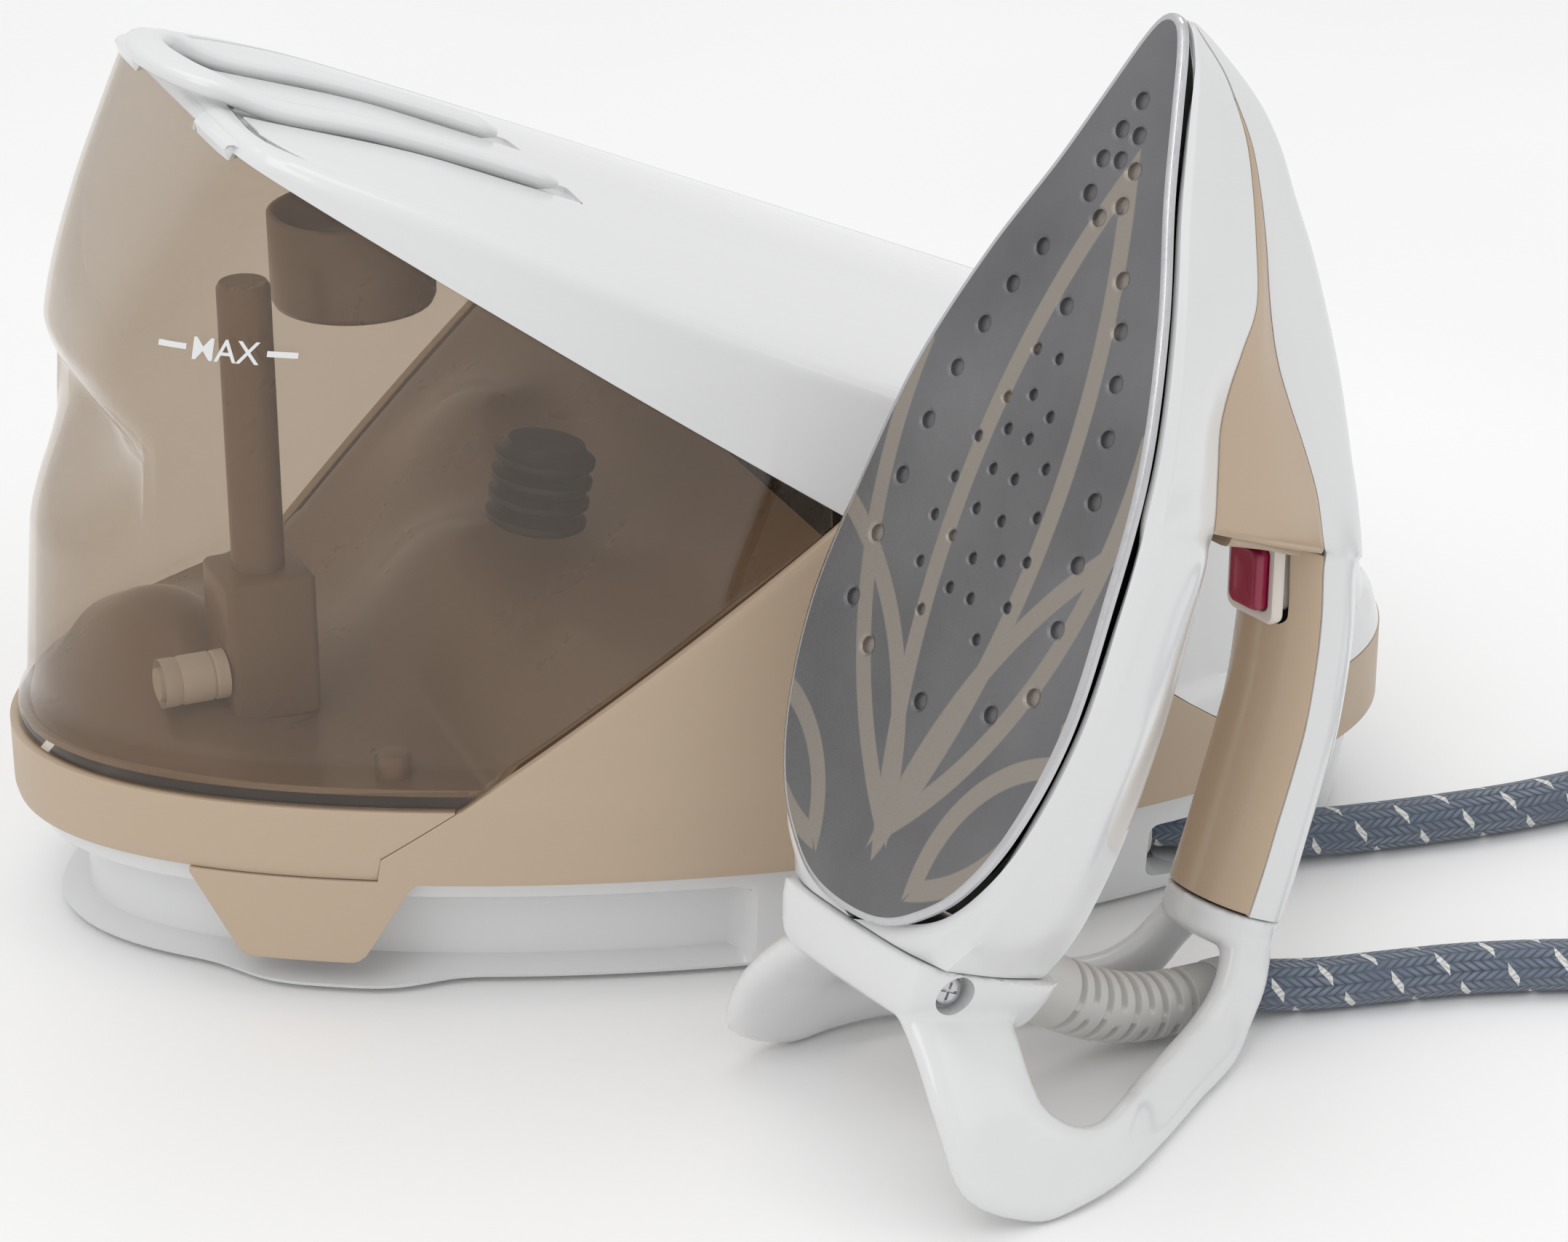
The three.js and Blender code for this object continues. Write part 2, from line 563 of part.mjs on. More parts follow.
// Rows: x, half width at the foot, shoulder half width, shoulder z, deck z.
const STERN = [
  [-2, 33, 27, 50, 56],
  [8, 39.5, 30, 52, 58],
  [20, 44.6, 32, 53, 59],
  [40, 49.6, 33, 54, 60],
  [70, 54.4, 33, 53, 60],
  [100, 53, 32, 50, 59],
  [118, 51.2, 31, 47, 56],
];
const mirror = (half) => [...half, ...half.slice().reverse().map((p) => V(p.x, -p.y, p.z))];
{
  const stations = [];
  const wall = 2.2;
  for (const [x, hw, sy, sz, dz] of STERN) {
    const foot = 8.6;
    const mid = V(x, lerp(hw, sy, 0.22), 30);
    stations.push({
      outer: mirror([V(x, hw, foot), mid, V(x, sy, sz), V(x, sy * 0.55, dz - 1)]),
      inner: mirror([V(x, hw - wall, foot), V(x, mid.y - wall, 29), V(x, sy - wall, sz - wall),
        V(x, sy * 0.5, dz - 3.4)]),
    });
  }
  for (const [x, hw, foot, by, bz] of PROW.slice().reverse()) {
    const w = Math.min(wall, hw * 0.4);
    const mid = V(x, lerp(hw, by, 0.4), lerp(foot, bz, 0.5));
    stations.push({
      outer: mirror([V(x, hw, foot), mid, V(x, by, bz), V(x, by * 0.5, bz - 1)]),
      inner: mirror([V(x, hw - w, foot), V(x, mid.y - w, mid.z - w * 0.3), V(x, by - w, bz - w),
        V(x, by * 0.4, bz - 1 - w)]),
    });
  }
  const skirt = solid(archLoft(stations));
  add('lower_skirt', geometryOf(skirt), WHITE(), iron);
}

// Handle section centre height along the grip.
const HANDLE_Z = [[-2, 134], [9, 134.3], [33, 133], [47, 131.4], [62, 129.8], [76, 127.6], [94, 122.4],
  [106, 117.8], [120, 111.2], [124, 110]];
const SPLIT = -20;
function handlePoint(x, degrees, grow = 0) {
  const a = THREE.MathUtils.degToRad(degrees);
  return V(x, (HANDLE_A + grow) * Math.cos(a), along(HANDLE_Z, x) + (HANDLE_C + grow) * Math.sin(a));
}
{
  // Side panels, one each side.
  for (const [name, s] of [['side_panel_near', 1], ['side_panel_far', -1]]) {
    const stations = PROW.slice(3).map(([x, , , by, bz, sy, sz]) => {
      const mid = V(x, lerp(by, sy, 0.4), lerp(bz, sz, 0.5));
      const line = [V(x, by, bz + 0.35), mid, V(x, sy, sz - 0.35)].map((p) => V(p.x, s * p.y, p.z));
      return { outer: line, inner: line.map((p) => V(p.x, p.y - s * Math.min(2, by * 0.3), p.z)) };
    });
    add(name, geometryOf(solid(archLoft(stations))), BEIGE(), iron);
  }
  // Spine cover: from the tip over the grip to the rear end.
  const stations = [];
  const angles = [SPLIT, 15, 50];
  for (const x of [20.4, 33, 47, 62, 76, 94, 106, 118, 122.2]) {
    stations.push({
      outer: mirror([...angles.map((d) => handlePoint(x, d)), V(x, 3, handlePoint(x, 90).z - 0.1)]),
      inner: mirror([...angles.map((d) => handlePoint(x, d, -2)), V(x, 3, handlePoint(x, 90, -2).z)]),
    });
  }
  for (const [x, , , , , sy, sz, cz] of PROW.slice().reverse()) {
    const t = Math.min(2, sy * 0.45);
    const line = [V(x, sy, sz), V(x, sy * 0.95, lerp(sz, cz, 0.4)), V(x, sy * 0.72, lerp(sz, cz, 0.8)),
      V(x, sy * 0.18, cz)];
    const shrink = (p) => V(x, p.y - t * 0.9 * Math.min(1, p.y / (sy * 0.6)), p.z - (p.z > sz + 1 ? t : 0));
    stations.push({ outer: mirror(line), inner: mirror(line.map(shrink)) });
  }
  add('spine_cover', geometryOf(solid(archLoft(stations))), WHITE(), iron);
  // Grip: the lower half of the handle, closed at the front by the wall of the post.
  const low = [SPLIT - 1.4, -50, -72];
  const grip = [];
  for (const x of [20.8, 33, 47, 62, 76, 94, 106, 121.5]) {
    grip.push({
      outer: mirror(low.map((d) => handlePoint(x, d))),
      inner: mirror(low.map((d) => handlePoint(x, d, -2.4))),
    });
  }
  let g = solid(archLoft(grip));
  const post = loft([119.2, 121.8].map((x) => [V(x, 27.5, 57), V(x, 25, 62), V(x, 16.4, 84), V(x, 13, 99),
    V(x, 8, 105), V(x, -8, 105), V(x, -13, 99), V(x, -16.4, 84), V(x, -25, 62), V(x, -27.5, 57)]));
  g = g.add(solid(post));
  g = g.subtract(solid(loft([[V(99.5, -8, 90), V(122.5, -8, 84), V(122.5, 8, 84), V(99.5, 8, 90)],
    [V(99.5, -8, 112), V(122.5, -8, 104), V(122.5, 8, 104), V(99.5, 8, 112)]])));
  add('grip', geometryOf(g), BEIGE(), iron);
}
// Trigger on the inner side of the grip, with its bezel, spring and switch.
{
  const frame = new THREE.Matrix4();
  const bottom = (x) => handlePoint(x, -90).z;
  const c = V(111, 0, bottom(111) + 1);
  const tilt = Math.atan2(bottom(121) - bottom(101), 20);
  frame.makeRotationY(-tilt).setPosition(c);
  const pieces = (rings) => solid(loft(rings)).transform(frame.elements.slice());
  const rect = (hx, hy, z, r = 2) => {
    const pts = [];
    for (const [sx, sy, a0] of [[1, 1, 0], [-1, 1, 90], [-1, -1, 180], [1, -1, 270]]) {
      for (const d of [0, 45, 90]) {
        const a = THREE.MathUtils.degToRad(a0 + d);
        pts.push(V(sx * (hx - r) + r * Math.cos(a), sy * (hy - r) + r * Math.sin(a), z));
      }
    }
    return pts;
  };
  const lip = pieces([rect(12.6, 9.6, -3.2, 3), rect(12.6, 9.6, 0.2, 3), rect(10.4, 7.7, 0.3, 3),
    rect(10.4, 7.7, 4, 3)]);
  const hole = pieces([rect(9.4, 6.6, -6, 2.6), rect(9.4, 6.6, 8, 2.6)]);
  const gripMesh = iron.children.find((m) => m.name === 'grip');
  const bezel = lip.subtract(hole);
  gripMesh.geometry = geometryOf(solid(gripMesh.geometry).subtract(
    pieces([rect(12.9, 9.9, -8, 3), rect(12.9, 9.9, 4.4, 3)])));
  add('trigger_bezel', geometryOf(bezel), material(0xe8e2da, 0.4), iron);
  add('trigger', geometryOf(pieces([rect(8, 5.2, -6.4, 2.4), rect(9, 6.2, -5, 2.4), rect(9, 6.2, 3.4, 2.4)])),
    material(0x7a0c3c, 0.3), iron);
  const coil = turned([[2.2, 7.8], [3.6, 7.8], [3.6, 14], [2.2, 14], [2.2, 7.8]], 14).rotateX(Math.PI / 2);
  add('trigger_spring', geometryOf(solid(coil).transform(frame.elements.slice())), METAL(), iron);
  const block = solid(box(-7, 7, -4, 4, 14.4, 20)).transform(frame.elements.slice());
  add('trigger_switch', geometryOf(block), BLACK(), iron);
}

// ---------- hose: strain relief axis, from inside the heel to the collar ----------
const ironPoint = (x, y, z) => V(x, y, z).applyMatrix4(iron.matrix);
const RELIEF = [ironPoint(-9, 0, 47), ironPoint(-16, 0, 54), V(4, -201, 34), V(17, -198.6, 25.5), V(30, -196.3, 18),
  V(44, -193.6, 12.6), V(57, -191.4, 10.5), V(68, -190, 9.9)];
const RELIEF_R = [[0, 8.6], [0.2, 10], [0.45, 10.2], [1, 8.8]];

// ---------- iron: heel with its two open loops ----------
{
  const section = (x, y, z0, z1) => [V(x, y, z0 + 4), V(x, y, z1 - 10), V(x, y * 0.7, z1), V(x, -y * 0.7, z1),
    V(x, -y, z1 - 10), V(x, -y, z0 + 4), V(x, -y * 0.8, z0), V(x, y * 0.8, z0)];
  const cap1 = solid(loft([section(-20, 21, 12, 46), section(-17, 27, 7, 54), section(-9, 30, 4.5, 57),
    section(-2.4, 31, 3.4, 58)]));
  // Outer edge, inner edge and half thickness of the near loop from the body to the end of the grip.
  const loop = [
    [V(-14, 18, 8), V(-10, 18, 44), 4.5],
    [V(-24, 31, 11), V(-18, 31, 44), 4.5],
    [V(-40, 45, 16), V(-26, 40, 45.5), 4.2],
    [V(-54.6, 53, 26), V(-31, 45, 49), 4],
    [V(-57.2, 57, 48), V(-33.5, 48, 58), 4],
    [V(-51.6, 57.5, 61), V(-32, 47, 68), 4],
    [V(-44.6, 54, 76), V(-27, 43.5, 77), 4],
    [V(-36.6, 46, 94), V(-24, 34, 90), 4],
    [V(-27.4, 35, 114), V(-15, 25.5, 107), 4],
    [V(-18.5, 26, 131.5), V(-8.5, 20, 118), 4],
    [V(-9, 19.5, 139), V(-1, 17.5, 124), 4],
    [V(2, 17, 142), V(6, 15, 126), 4],
    [V(14, 12, 143), V(14, 11, 127), 4.5],
  ];
  const loopRings = (s) => loop.map(([o, i, t], k) => {
    const prev = loop[Math.max(0, k - 1)];
    const next = loop[Math.min(loop.length - 1, k + 1)];
    const run = next[0].clone().add(next[1]).sub(prev[0]).sub(prev[1]).normalize();
    const wide = o.clone().sub(i);
    const n = run.clone().cross(wide).normalize().multiplyScalar(t);
    const at = (f, g) => {
      const p = i.clone().addScaledVector(wide, f).addScaledVector(n, g);
      return V(p.x, s * p.y, p.z);
    };
    return [at(0, 0.35), at(0.14, 0.9), at(0.5, 1), at(0.88, 0.85), at(1, 0.2), at(1, -0.3), at(0.86, -0.9),
      at(0.5, -1), at(0.14, -0.9), at(0, -0.35)];
  });
  const tailRing = (x, k, dz = 0) => {
    const ring = [];
    for (let i = 0; i < 14; i++) {
      const a = (i / 14) * Math.PI * 2;
      ring.push(V(x, k * HANDLE_A * Math.cos(a), along(HANDLE_Z, x) + dz + k * HANDLE_C * Math.sin(a)));
    }
    return ring;
  };
  const tail = solid(loft([tailRing(9, 0.8, 1.5), tailRing(12, 0.97), tailRing(20, 1)]));
  let heel = Manifold.union([cap1, solid(loft(loopRings(1))), solid(loft(loopRings(-1))), tail]);
  for (const s of [-1, 1]) {
    heel = heel.subtract(solid(rod(V(-9, s * 40, 17), V(-9, s * 24, 20), 5.6, 16)));
  }
  const back = iron.matrix.clone().invert();
  const socket = RELIEF.map((p) => p.clone().applyMatrix4(back));
  socket[0].addScaledVector(socket[0].clone().sub(socket[1]).normalize(), 2);
  heel = heel.subtract(solid(roundTube(socket, 12, RELIEF_R.map(([t, r]) => [t, r + 1.2]), 16)));
  add('heel_frame', geometryOf(heel), WHITE(), iron);
  for (const [name, s] of [['heel_screw_near', 1], ['heel_screw_far', -1]]) {
    add(name, rod(V(-9, s * 27.3, 19.3), V(-9, s * 24.8, 19.8), 4.2, 14), METAL(), iron);
  }
}

// ---------- hose ----------
const IRON_HOSE = [V(88, -191.2, 8.5), V(102, -194.4, 7.6), V(121, -198, 7.5), V(142, -202.5, 7.5), V(165, -210, 7.5),
  V(190, -220.5, 7.5), V(214, -233, 7.5)];
const BASE_HOSE = [V(86, -101, 17), V(95, -103.4, 17), V(105, -106.1, 16), V(117, -109, 13.4), V(131, -111.6, 10.2),
  V(147, -114.2, 8.2), V(167, -117, 7.6), V(190, -120, 7.5), V(210, -121.8, 7.5), V(227, -122, 7.5)];
function roundTube(points, steps, radii, sides = 10) {
  const curve = new THREE.CatmullRomCurve3(points);
  const shape = new THREE.Shape().absarc(0, 0, 1, 0, Math.PI * 2);
  const g = new THREE.ExtrudeGeometry(shape, {
    steps, extrudePath: curve, bevelEnabled: false, curveSegments: sides / 2,
  });
  const pos = g.getAttribute('position');
  const p = new THREE.Vector3();
  for (let i = 0; i < pos.count; i++) {
    p.fromBufferAttribute(pos, i);
    let best = 0;
    let least = Infinity;
    for (let k = 0; k <= steps; k++) {
      const d = p.distanceToSquared(curve.getPointAt(k / steps));
      if (d < least) {
        least = d;
        best = k;
      }
    }
    const c = curve.getPointAt(best / steps);
    p.sub(c).multiplyScalar(along(radii, best / steps)).add(c);
    pos.setXYZ(i, p.x, p.y, p.z);
  }
  return geometryOf(solid(g));
}
{
  const r = HOSE_D / 2;
  const relief = solid(roundTube(RELIEF, 12, RELIEF_R, 16));
  add('strain_relief', geometryOf(relief), GREY());
  const dirEnd = RELIEF.at(-1).clone().sub(RELIEF.at(-2)).normalize();
  const start = RELIEF.at(-1).clone().addScaledVector(dirEnd, 0.4);
  const collar = solid(rod(start, start.clone().addScaledVector(dirEnd, 9), 9.1, 20));
  add('hose_collar', geometryOf(collar.subtract(solid(rod(start.clone().addScaledVector(dirEnd, 4),
    start.clone().addScaledVector(dirEnd, 12), r + 1, 20)))), WHITE());
  const ahead = (k) => start.clone().addScaledVector(dirEnd, k);
  add('hose_iron_side', roundTube([ahead(4.4), ahead(11), ...IRON_HOSE], 16, [[0, r]]), material(0x4d5a70, 0.8));
  add('hose_base_side', roundTube(BASE_HOSE, 16, [[0, r]]), material(0x4d5a70, 0.8));
  const ring = turned([[COIL_R - 15, 0.2], [COIL_R + 15, 0.2], [COIL_R + 15, 30], [COIL_R - 15, 30],
    [COIL_R - 15, 0.2]], 30);
  ring.rotateX(Math.PI / 2);
  ring.translate(COIL_AT.x, COIL_AT.y, COIL_AT.z);
  add('hose_coil', ring, material(0x4d5a70, 0.8));
  const tie = box(COIL_AT.x + COIL_R - 16.5, COIL_AT.x + COIL_R + 16.5, COIL_AT.y - 4, COIL_AT.y + 4, 0, 31.5);
  const eye = box(COIL_AT.x + COIL_R - 15.4, COIL_AT.x + COIL_R + 15.4, COIL_AT.y - 6, COIL_AT.y + 6, -2, 30.3);
  const strap = solid(tie).subtract(solid(eye));
  add('coil_tie', geometryOf(strap), BLACK());
  const outletEnd = OUTLET_AT.clone().addScaledVector(OUTLET_DIR, 10);
  const bush = solid(rod(OUTLET_AT, outletEnd, 10.2, 20));
  const eyelet = solid(rod(OUTLET_AT.clone().addScaledVector(OUTLET_DIR, -2),
    outletEnd.clone().addScaledVector(OUTLET_DIR, 2), r + 1, 20));
  add('hose_outlet', geometryOf(bush.subtract(eyelet)), GREY());
}

// ---------- shared frame: origin under the middle of base and iron ----------
group.updateMatrixWorld(true);
const bounds = new THREE.Box3();
const OFF_CORD = ['hose_iron_side', 'hose_base_side', 'hose_coil', 'coil_tie'];
group.traverse((o) => {
  if (o.isMesh && !OFF_CORD.includes(o.name)) bounds.expandByObject(o, true);
});
group.position.set(-(bounds.min.x + bounds.max.x) / 2, -(bounds.min.y + bounds.max.y) / 2, -bounds.min.z);
group.updateMatrixWorld(true);

export default group;
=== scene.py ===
"""Looks of the steam generator iron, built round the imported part. Blender 4.5, metres.

Shapes are worked out in millimetres in the part's design frame: origin on the floor under the base,
+X to the rear end, -Y the side where the iron stands. put() turns them into row metres.
"""

import math

import bmesh
import bpy
import numpy as np
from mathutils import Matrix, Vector


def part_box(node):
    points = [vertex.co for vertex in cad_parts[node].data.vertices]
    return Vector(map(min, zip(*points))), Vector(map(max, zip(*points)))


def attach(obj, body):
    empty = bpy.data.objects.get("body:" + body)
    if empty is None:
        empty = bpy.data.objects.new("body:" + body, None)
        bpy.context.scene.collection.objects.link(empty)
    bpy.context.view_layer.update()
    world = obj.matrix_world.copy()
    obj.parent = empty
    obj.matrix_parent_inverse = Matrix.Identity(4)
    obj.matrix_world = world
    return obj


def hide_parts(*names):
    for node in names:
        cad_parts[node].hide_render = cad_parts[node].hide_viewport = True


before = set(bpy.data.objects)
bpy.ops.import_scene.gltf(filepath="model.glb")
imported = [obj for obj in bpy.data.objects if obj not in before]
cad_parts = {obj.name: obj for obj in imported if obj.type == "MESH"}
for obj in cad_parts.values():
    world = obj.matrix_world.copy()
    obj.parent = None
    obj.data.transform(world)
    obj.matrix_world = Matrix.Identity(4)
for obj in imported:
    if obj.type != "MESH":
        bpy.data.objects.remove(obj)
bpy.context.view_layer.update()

# ---------------------------------------------------------------- frames
MM = 0.001
UP = (0, 0, 1)
COIL_AT = np.array([330.0, -224.0])  # middle of the put-away coil in the design frame
BOILER_AT = (60.0, 18.0)  # middle of the boiler in the design frame, which ties it to the row frame
boiler_lo, boiler_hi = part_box("boiler")
TO_ROW = np.array(
    [
        (boiler_lo.x + boiler_hi.x) / 2 / MM - BOILER_AT[0],
        (boiler_lo.y + boiler_hi.y) / 2 / MM - BOILER_AT[1],
        0.0,
    ]
)

IRON_AT = np.array([-53.5, -213.3, 73.4])
IRON_YAW = math.radians(11.8)
IRON_LEAN = math.radians(24.35)
HEADING = np.array([math.cos(IRON_YAW), math.sin(IRON_YAW), 0.0])
IRON_LENGTH = HEADING * math.sin(IRON_LEAN) + np.array(UP) * math.cos(IRON_LEAN)
IRON_DEPTH = HEADING * math.cos(IRON_LEAN) - np.array(UP) * math.sin(IRON_LEAN)
IRON_SIDE = np.cross(IRON_DEPTH, IRON_LENGTH)


def iron(points):
    """Points of the iron's own frame (heel to tip, side, away from the sole) in the design frame."""
    p = np.asarray(points, float)
    return IRON_AT + p[..., :1] * IRON_LENGTH + p[..., 1:2] * IRON_SIDE + p[..., 2:3] * IRON_DEPTH


def put(points):
    """Design-frame millimetres as row-frame metres."""
    return (np.asarray(points, float) + TO_ROW) * MM


# ---------------------------------------------------------------- curves and grids
def table(rows, at, col=1):
    """Smooth, non-overshooting interpolation of a column of rows over its first column."""
    r = np.asarray(rows, float)
    k, v = r[:, 0], r[:, col]
    if k[0] > k[-1]:
        k, v = k[::-1], v[::-1]
    at = np.clip(np.asarray(at, float), k[0], k[-1])
    h = np.diff(k)
    d = np.diff(v) / h
    m = np.zeros_like(v)
    same = d[:-1] * d[1:] > 0
    with np.errstate(divide="ignore", invalid="ignore"):
        m[1:-1] = np.where(same, 2 * d[:-1] * d[1:] / (d[:-1] + d[1:]), 0)
    m[0], m[-1] = d[0], d[-1]
    i = np.clip(np.searchsorted(k, at, side="right") - 1, 0, len(h) - 1)
    t = (at - k[i]) / h[i]
    h00 = (1 + 2 * t) * (1 - t) ** 2
    h10 = t * (1 - t) ** 2
    h01 = t * t * (3 - 2 * t)
    h11 = t * t * (t - 1)
    return h00 * v[i] + h10 * h[i] * m[i] + h01 * v[i + 1] + h11 * h[i] * m[i + 1]


def run_along(path):
    """Length from the start of a path to each of its points."""
    return np.concatenate([[0], np.cumsum(np.linalg.norm(np.diff(path, axis=0), axis=1))])


def round_angles(n):
    return np.linspace(0, 2 * math.pi, n, endpoint=False)


def spline(points, n, closed=False):
    """n points on a smooth curve through the given ones, evenly spaced in length."""
    p = np.asarray(points, float)
    if closed:
        p = np.vstack([p[-2:], p, p[:3]])
    seg = np.maximum(np.linalg.norm(np.diff(p, axis=0), axis=1), 1e-9) ** 0.5
    k = np.concatenate([[0], np.cumsum(seg)])
    m = np.zeros_like(p)
    m[1:-1] = (p[2:] - p[:-2]) / (k[2:] - k[:-2])[:, None]
    m[0] = (p[1] - p[0]) / (k[1] - k[0])
    m[-1] = (p[-1] - p[-2]) / (k[-1] - k[-2])
    lo, hi = (k[2], k[len(p) - 3]) if closed else (k[0], k[-1])

    def at(s):
        i = np.clip(np.searchsorted(k, s, side="right") - 1, 0, len(seg) - 1)
        h = (k[i + 1] - k[i])[:, None]
        t = ((s - k[i]) / h[:, 0])[:, None]
        return (
            (1 + 2 * t) * (1 - t) ** 2 * p[i]
            + t * (1 - t) ** 2 * h * m[i]
            + t * t * (3 - 2 * t) * p[i + 1]
            + t * t * (t - 1) * h * m[i + 1]
        )

    s = np.linspace(lo, hi, 16 * len(p) + 1)
    fine = at(s)
    length = run_along(fine)
    want = np.linspace(0, length[-1], n + 1)[:-1] if closed else np.linspace(0, length[-1], n)
    return at(np.interp(want, length, s))


def along(rows, n):
    """n rows on smooth curves through the like points of the given rows."""
    rows = np.asarray(rows, float)
    return np.stack([spline(rows[:, j], n) for j in range(rows.shape[1])], axis=1)


def smoothstep(x, lo, hi):
    t = np.clip((np.asarray(x, float) - lo) / (hi - lo), 0, 1)
    return t * t * (3 - 2 * t)


# ---------------------------------------------------------------- meshes
def linked(name, data):
    """A new object in the scene that shows data."""
    obj = bpy.data.objects.new(name, data)
    bpy.context.scene.collection.objects.link(obj)
    return obj


def new_object(name, verts, faces, smooth=True):
    mesh = bpy.data.meshes.new(name)
    mesh.from_pydata([tuple(v) for v in verts], [], faces)
    mesh.validate()
    obj = linked(name, mesh)
    for poly in mesh.polygons:
        poly.use_smooth = smooth
    return obj


def grid_object(name, grid, wrap_rows=False, wrap_cols=False, caps=(False, False), uv=None):
    """Mesh of a grid of design-frame points; caps close the first and last row with a fan."""
    rows, cols = grid.shape[:2]
    verts = [tuple(p) for p in put(grid.reshape(-1, 3))]
    faces = []
    for r in range(rows if wrap_rows else rows - 1):
        for c in range(cols if wrap_cols else cols - 1):
            a, b = r * cols + c, r * cols + (c + 1) % cols
            d, e = ((r + 1) % rows) * cols + c, ((r + 1) % rows) * cols + (c + 1) % cols
            faces.append((a, b, e, d))
    for end, wanted in ((0, caps[0]), (rows - 1, caps[1])):
        if wanted:
            ring = [end * cols + c for c in range(cols)]
            verts.append(tuple(np.mean([verts[i] for i in ring], axis=0)))
            mid = len(verts) - 1
            for c in range(cols):
                a, b = ring[c], ring[(c + 1) % cols]
                faces.append((mid, b, a) if end == 0 else (mid, a, b))
    obj = new_object(name, verts, faces)
    if uv is not None:
        layer = obj.data.uv_layers.new(name="UVMap")
        flat = uv.reshape(-1, 2)
        u_span = flat[:, 0].max() - flat[:, 0].min()
        step = u_span / max(cols - 1, 1)
        for poly in obj.data.polygons:
            us = [flat[min(v, len(flat) - 1)][0] for v in poly.vertices]
            jump = max(us) - min(us) > u_span / 2
            for loop, v in zip(poly.loop_indices, poly.vertices):
                u, w = flat[min(v, len(flat) - 1)]
                if jump and u < u_span / 2:
                    u += u_span + step
                layer.data[loop].uv = (u, w)
    return obj


def edit(obj, change):
    """Runs change on the mesh of obj."""
    bm = bmesh.new()
    bm.from_mesh(obj.data)
    change(bm)
    bm.to_mesh(obj.data)
    bm.free()
    return obj


def outward(obj):
    """Points all faces of a closed mesh out."""
    return edit(obj, lambda bm: bmesh.ops.recalc_face_normals(bm, faces=bm.faces))


def outward_skin(obj):
    """Turns an open skin's faces away from the middle of the base or iron it wraps."""

    def turn(bm):
        middle = sum((v.co for v in bm.verts), Vector()) / len(bm.verts)
        score = sum((f.calc_center_median() - middle).dot(f.normal) * f.calc_area() for f in bm.faces)
        if score < 0:
            bmesh.ops.reverse_faces(bm, faces=bm.faces)

    return edit(obj, turn)


def flip_to_sky(obj):
    """Makes the faces that look down on a top surface look up."""

    def turn(bm):
        if sum(f.normal.z * f.calc_area() for f in bm.faces) < 0:
            bmesh.ops.reverse_faces(bm, faces=bm.faces)

    return edit(obj, turn)


def loft(name, rings):
    """Closed mesh through rings of points, with flat ends."""
    return outward(grid_object(name, np.asarray(rings, float), wrap_cols=True, caps=(True, True)))


def modify(obj, kind, **settings):
    mod = obj.modifiers.new(kind.lower(), kind)
    for key, value in settings.items():
        setattr(mod, key, value)


def bake_modifiers(obj):
    graph = bpy.context.evaluated_depsgraph_get()
    made = bpy.data.meshes.new_from_object(obj.evaluated_get(graph))
    obj.modifiers.clear()
    obj.data = made
    return obj


def sharpen(obj, degrees=32):
    for poly in obj.data.polygons:
        poly.use_smooth = True
    obj.data.set_sharp_from_angle(angle=math.radians(degrees))
    return obj


def solidify(obj, thick, bevel=0.5, segments=3):
    """Gives an open skin its wall, inwards, with softened rims."""
    modify(
        obj, "SOLIDIFY", thickness=thick * MM, offset=-1.0, use_even_offset=True, use_quality_normals=True
    )
    if bevel:
        return softened(obj, bevel, segments, 50)
    return sharpen(bake_modifiers(obj), 40)


def softened(obj, bevel=0.5, segments=3, angle=35):
    """Rounds off the edges sharper than angle."""
    limit = {"limit_method": "ANGLE", "angle_limit": math.radians(angle)}
    modify(obj, "BEVEL", width=bevel * MM, segments=segments, **limit)
    return sharpen(bake_modifiers(obj), 40)


def cut(obj, *cutters, overlapping=False):
    """Takes the cutters out of obj; overlapping says that obj or a cutter runs through itself."""
    for cutter in cutters:
        modify(
            obj, "BOOLEAN", operation="DIFFERENCE", solver="EXACT", use_self=overlapping, object=cutter
        )
    bpy.context.view_layer.update()
    bake_modifiers(obj)
    for cutter in cutters:
        bpy.data.objects.remove(cutter)
    return obj


def join(name, objects):
    """One mesh object from several, in order."""
    bm = bmesh.new()
    for o in objects:
        bm.from_mesh(o.data)
        bpy.data.objects.remove(o)
    mesh = bpy.data.meshes.new(name)
    bm.to_mesh(mesh)
    bm.free()
    return linked(name, mesh)


def frames_on(path):
    """A level normal and the one above it, at each point of a path."""
    t = np.gradient(path, axis=0)
    t /= np.linalg.norm(t, axis=1)[:, None]
    side = np.stack([-t[:, 1], t[:, 0], np.zeros(len(t))], axis=1)
    side /= np.maximum(np.linalg.norm(side, axis=1), 1e-6)[:, None]
    return side, np.cross(t, side)


def tube(name, path, radius, around=48, uv_scale=None):
    """Round tube on a path; radius is a number, or an array of one per path point and angle."""
    side, up = frames_on(path)
    a = round_angles(around)
    r = np.broadcast_to(radius, (len(path), around))
    grid = (
        path[:, None]
        + r[..., None] * (side[:, None] * np.cos(a)[None, :, None] + up[:, None] * np.sin(a)[None, :, None])
    )
    uv = None
    if uv_scale:
        run = run_along(path)
        uv = np.stack(np.meshgrid(a / (2 * math.pi), run * uv_scale), axis=-1)
    return outward(grid_object(name, grid, wrap_cols=True, caps=(True, True), uv=uv))


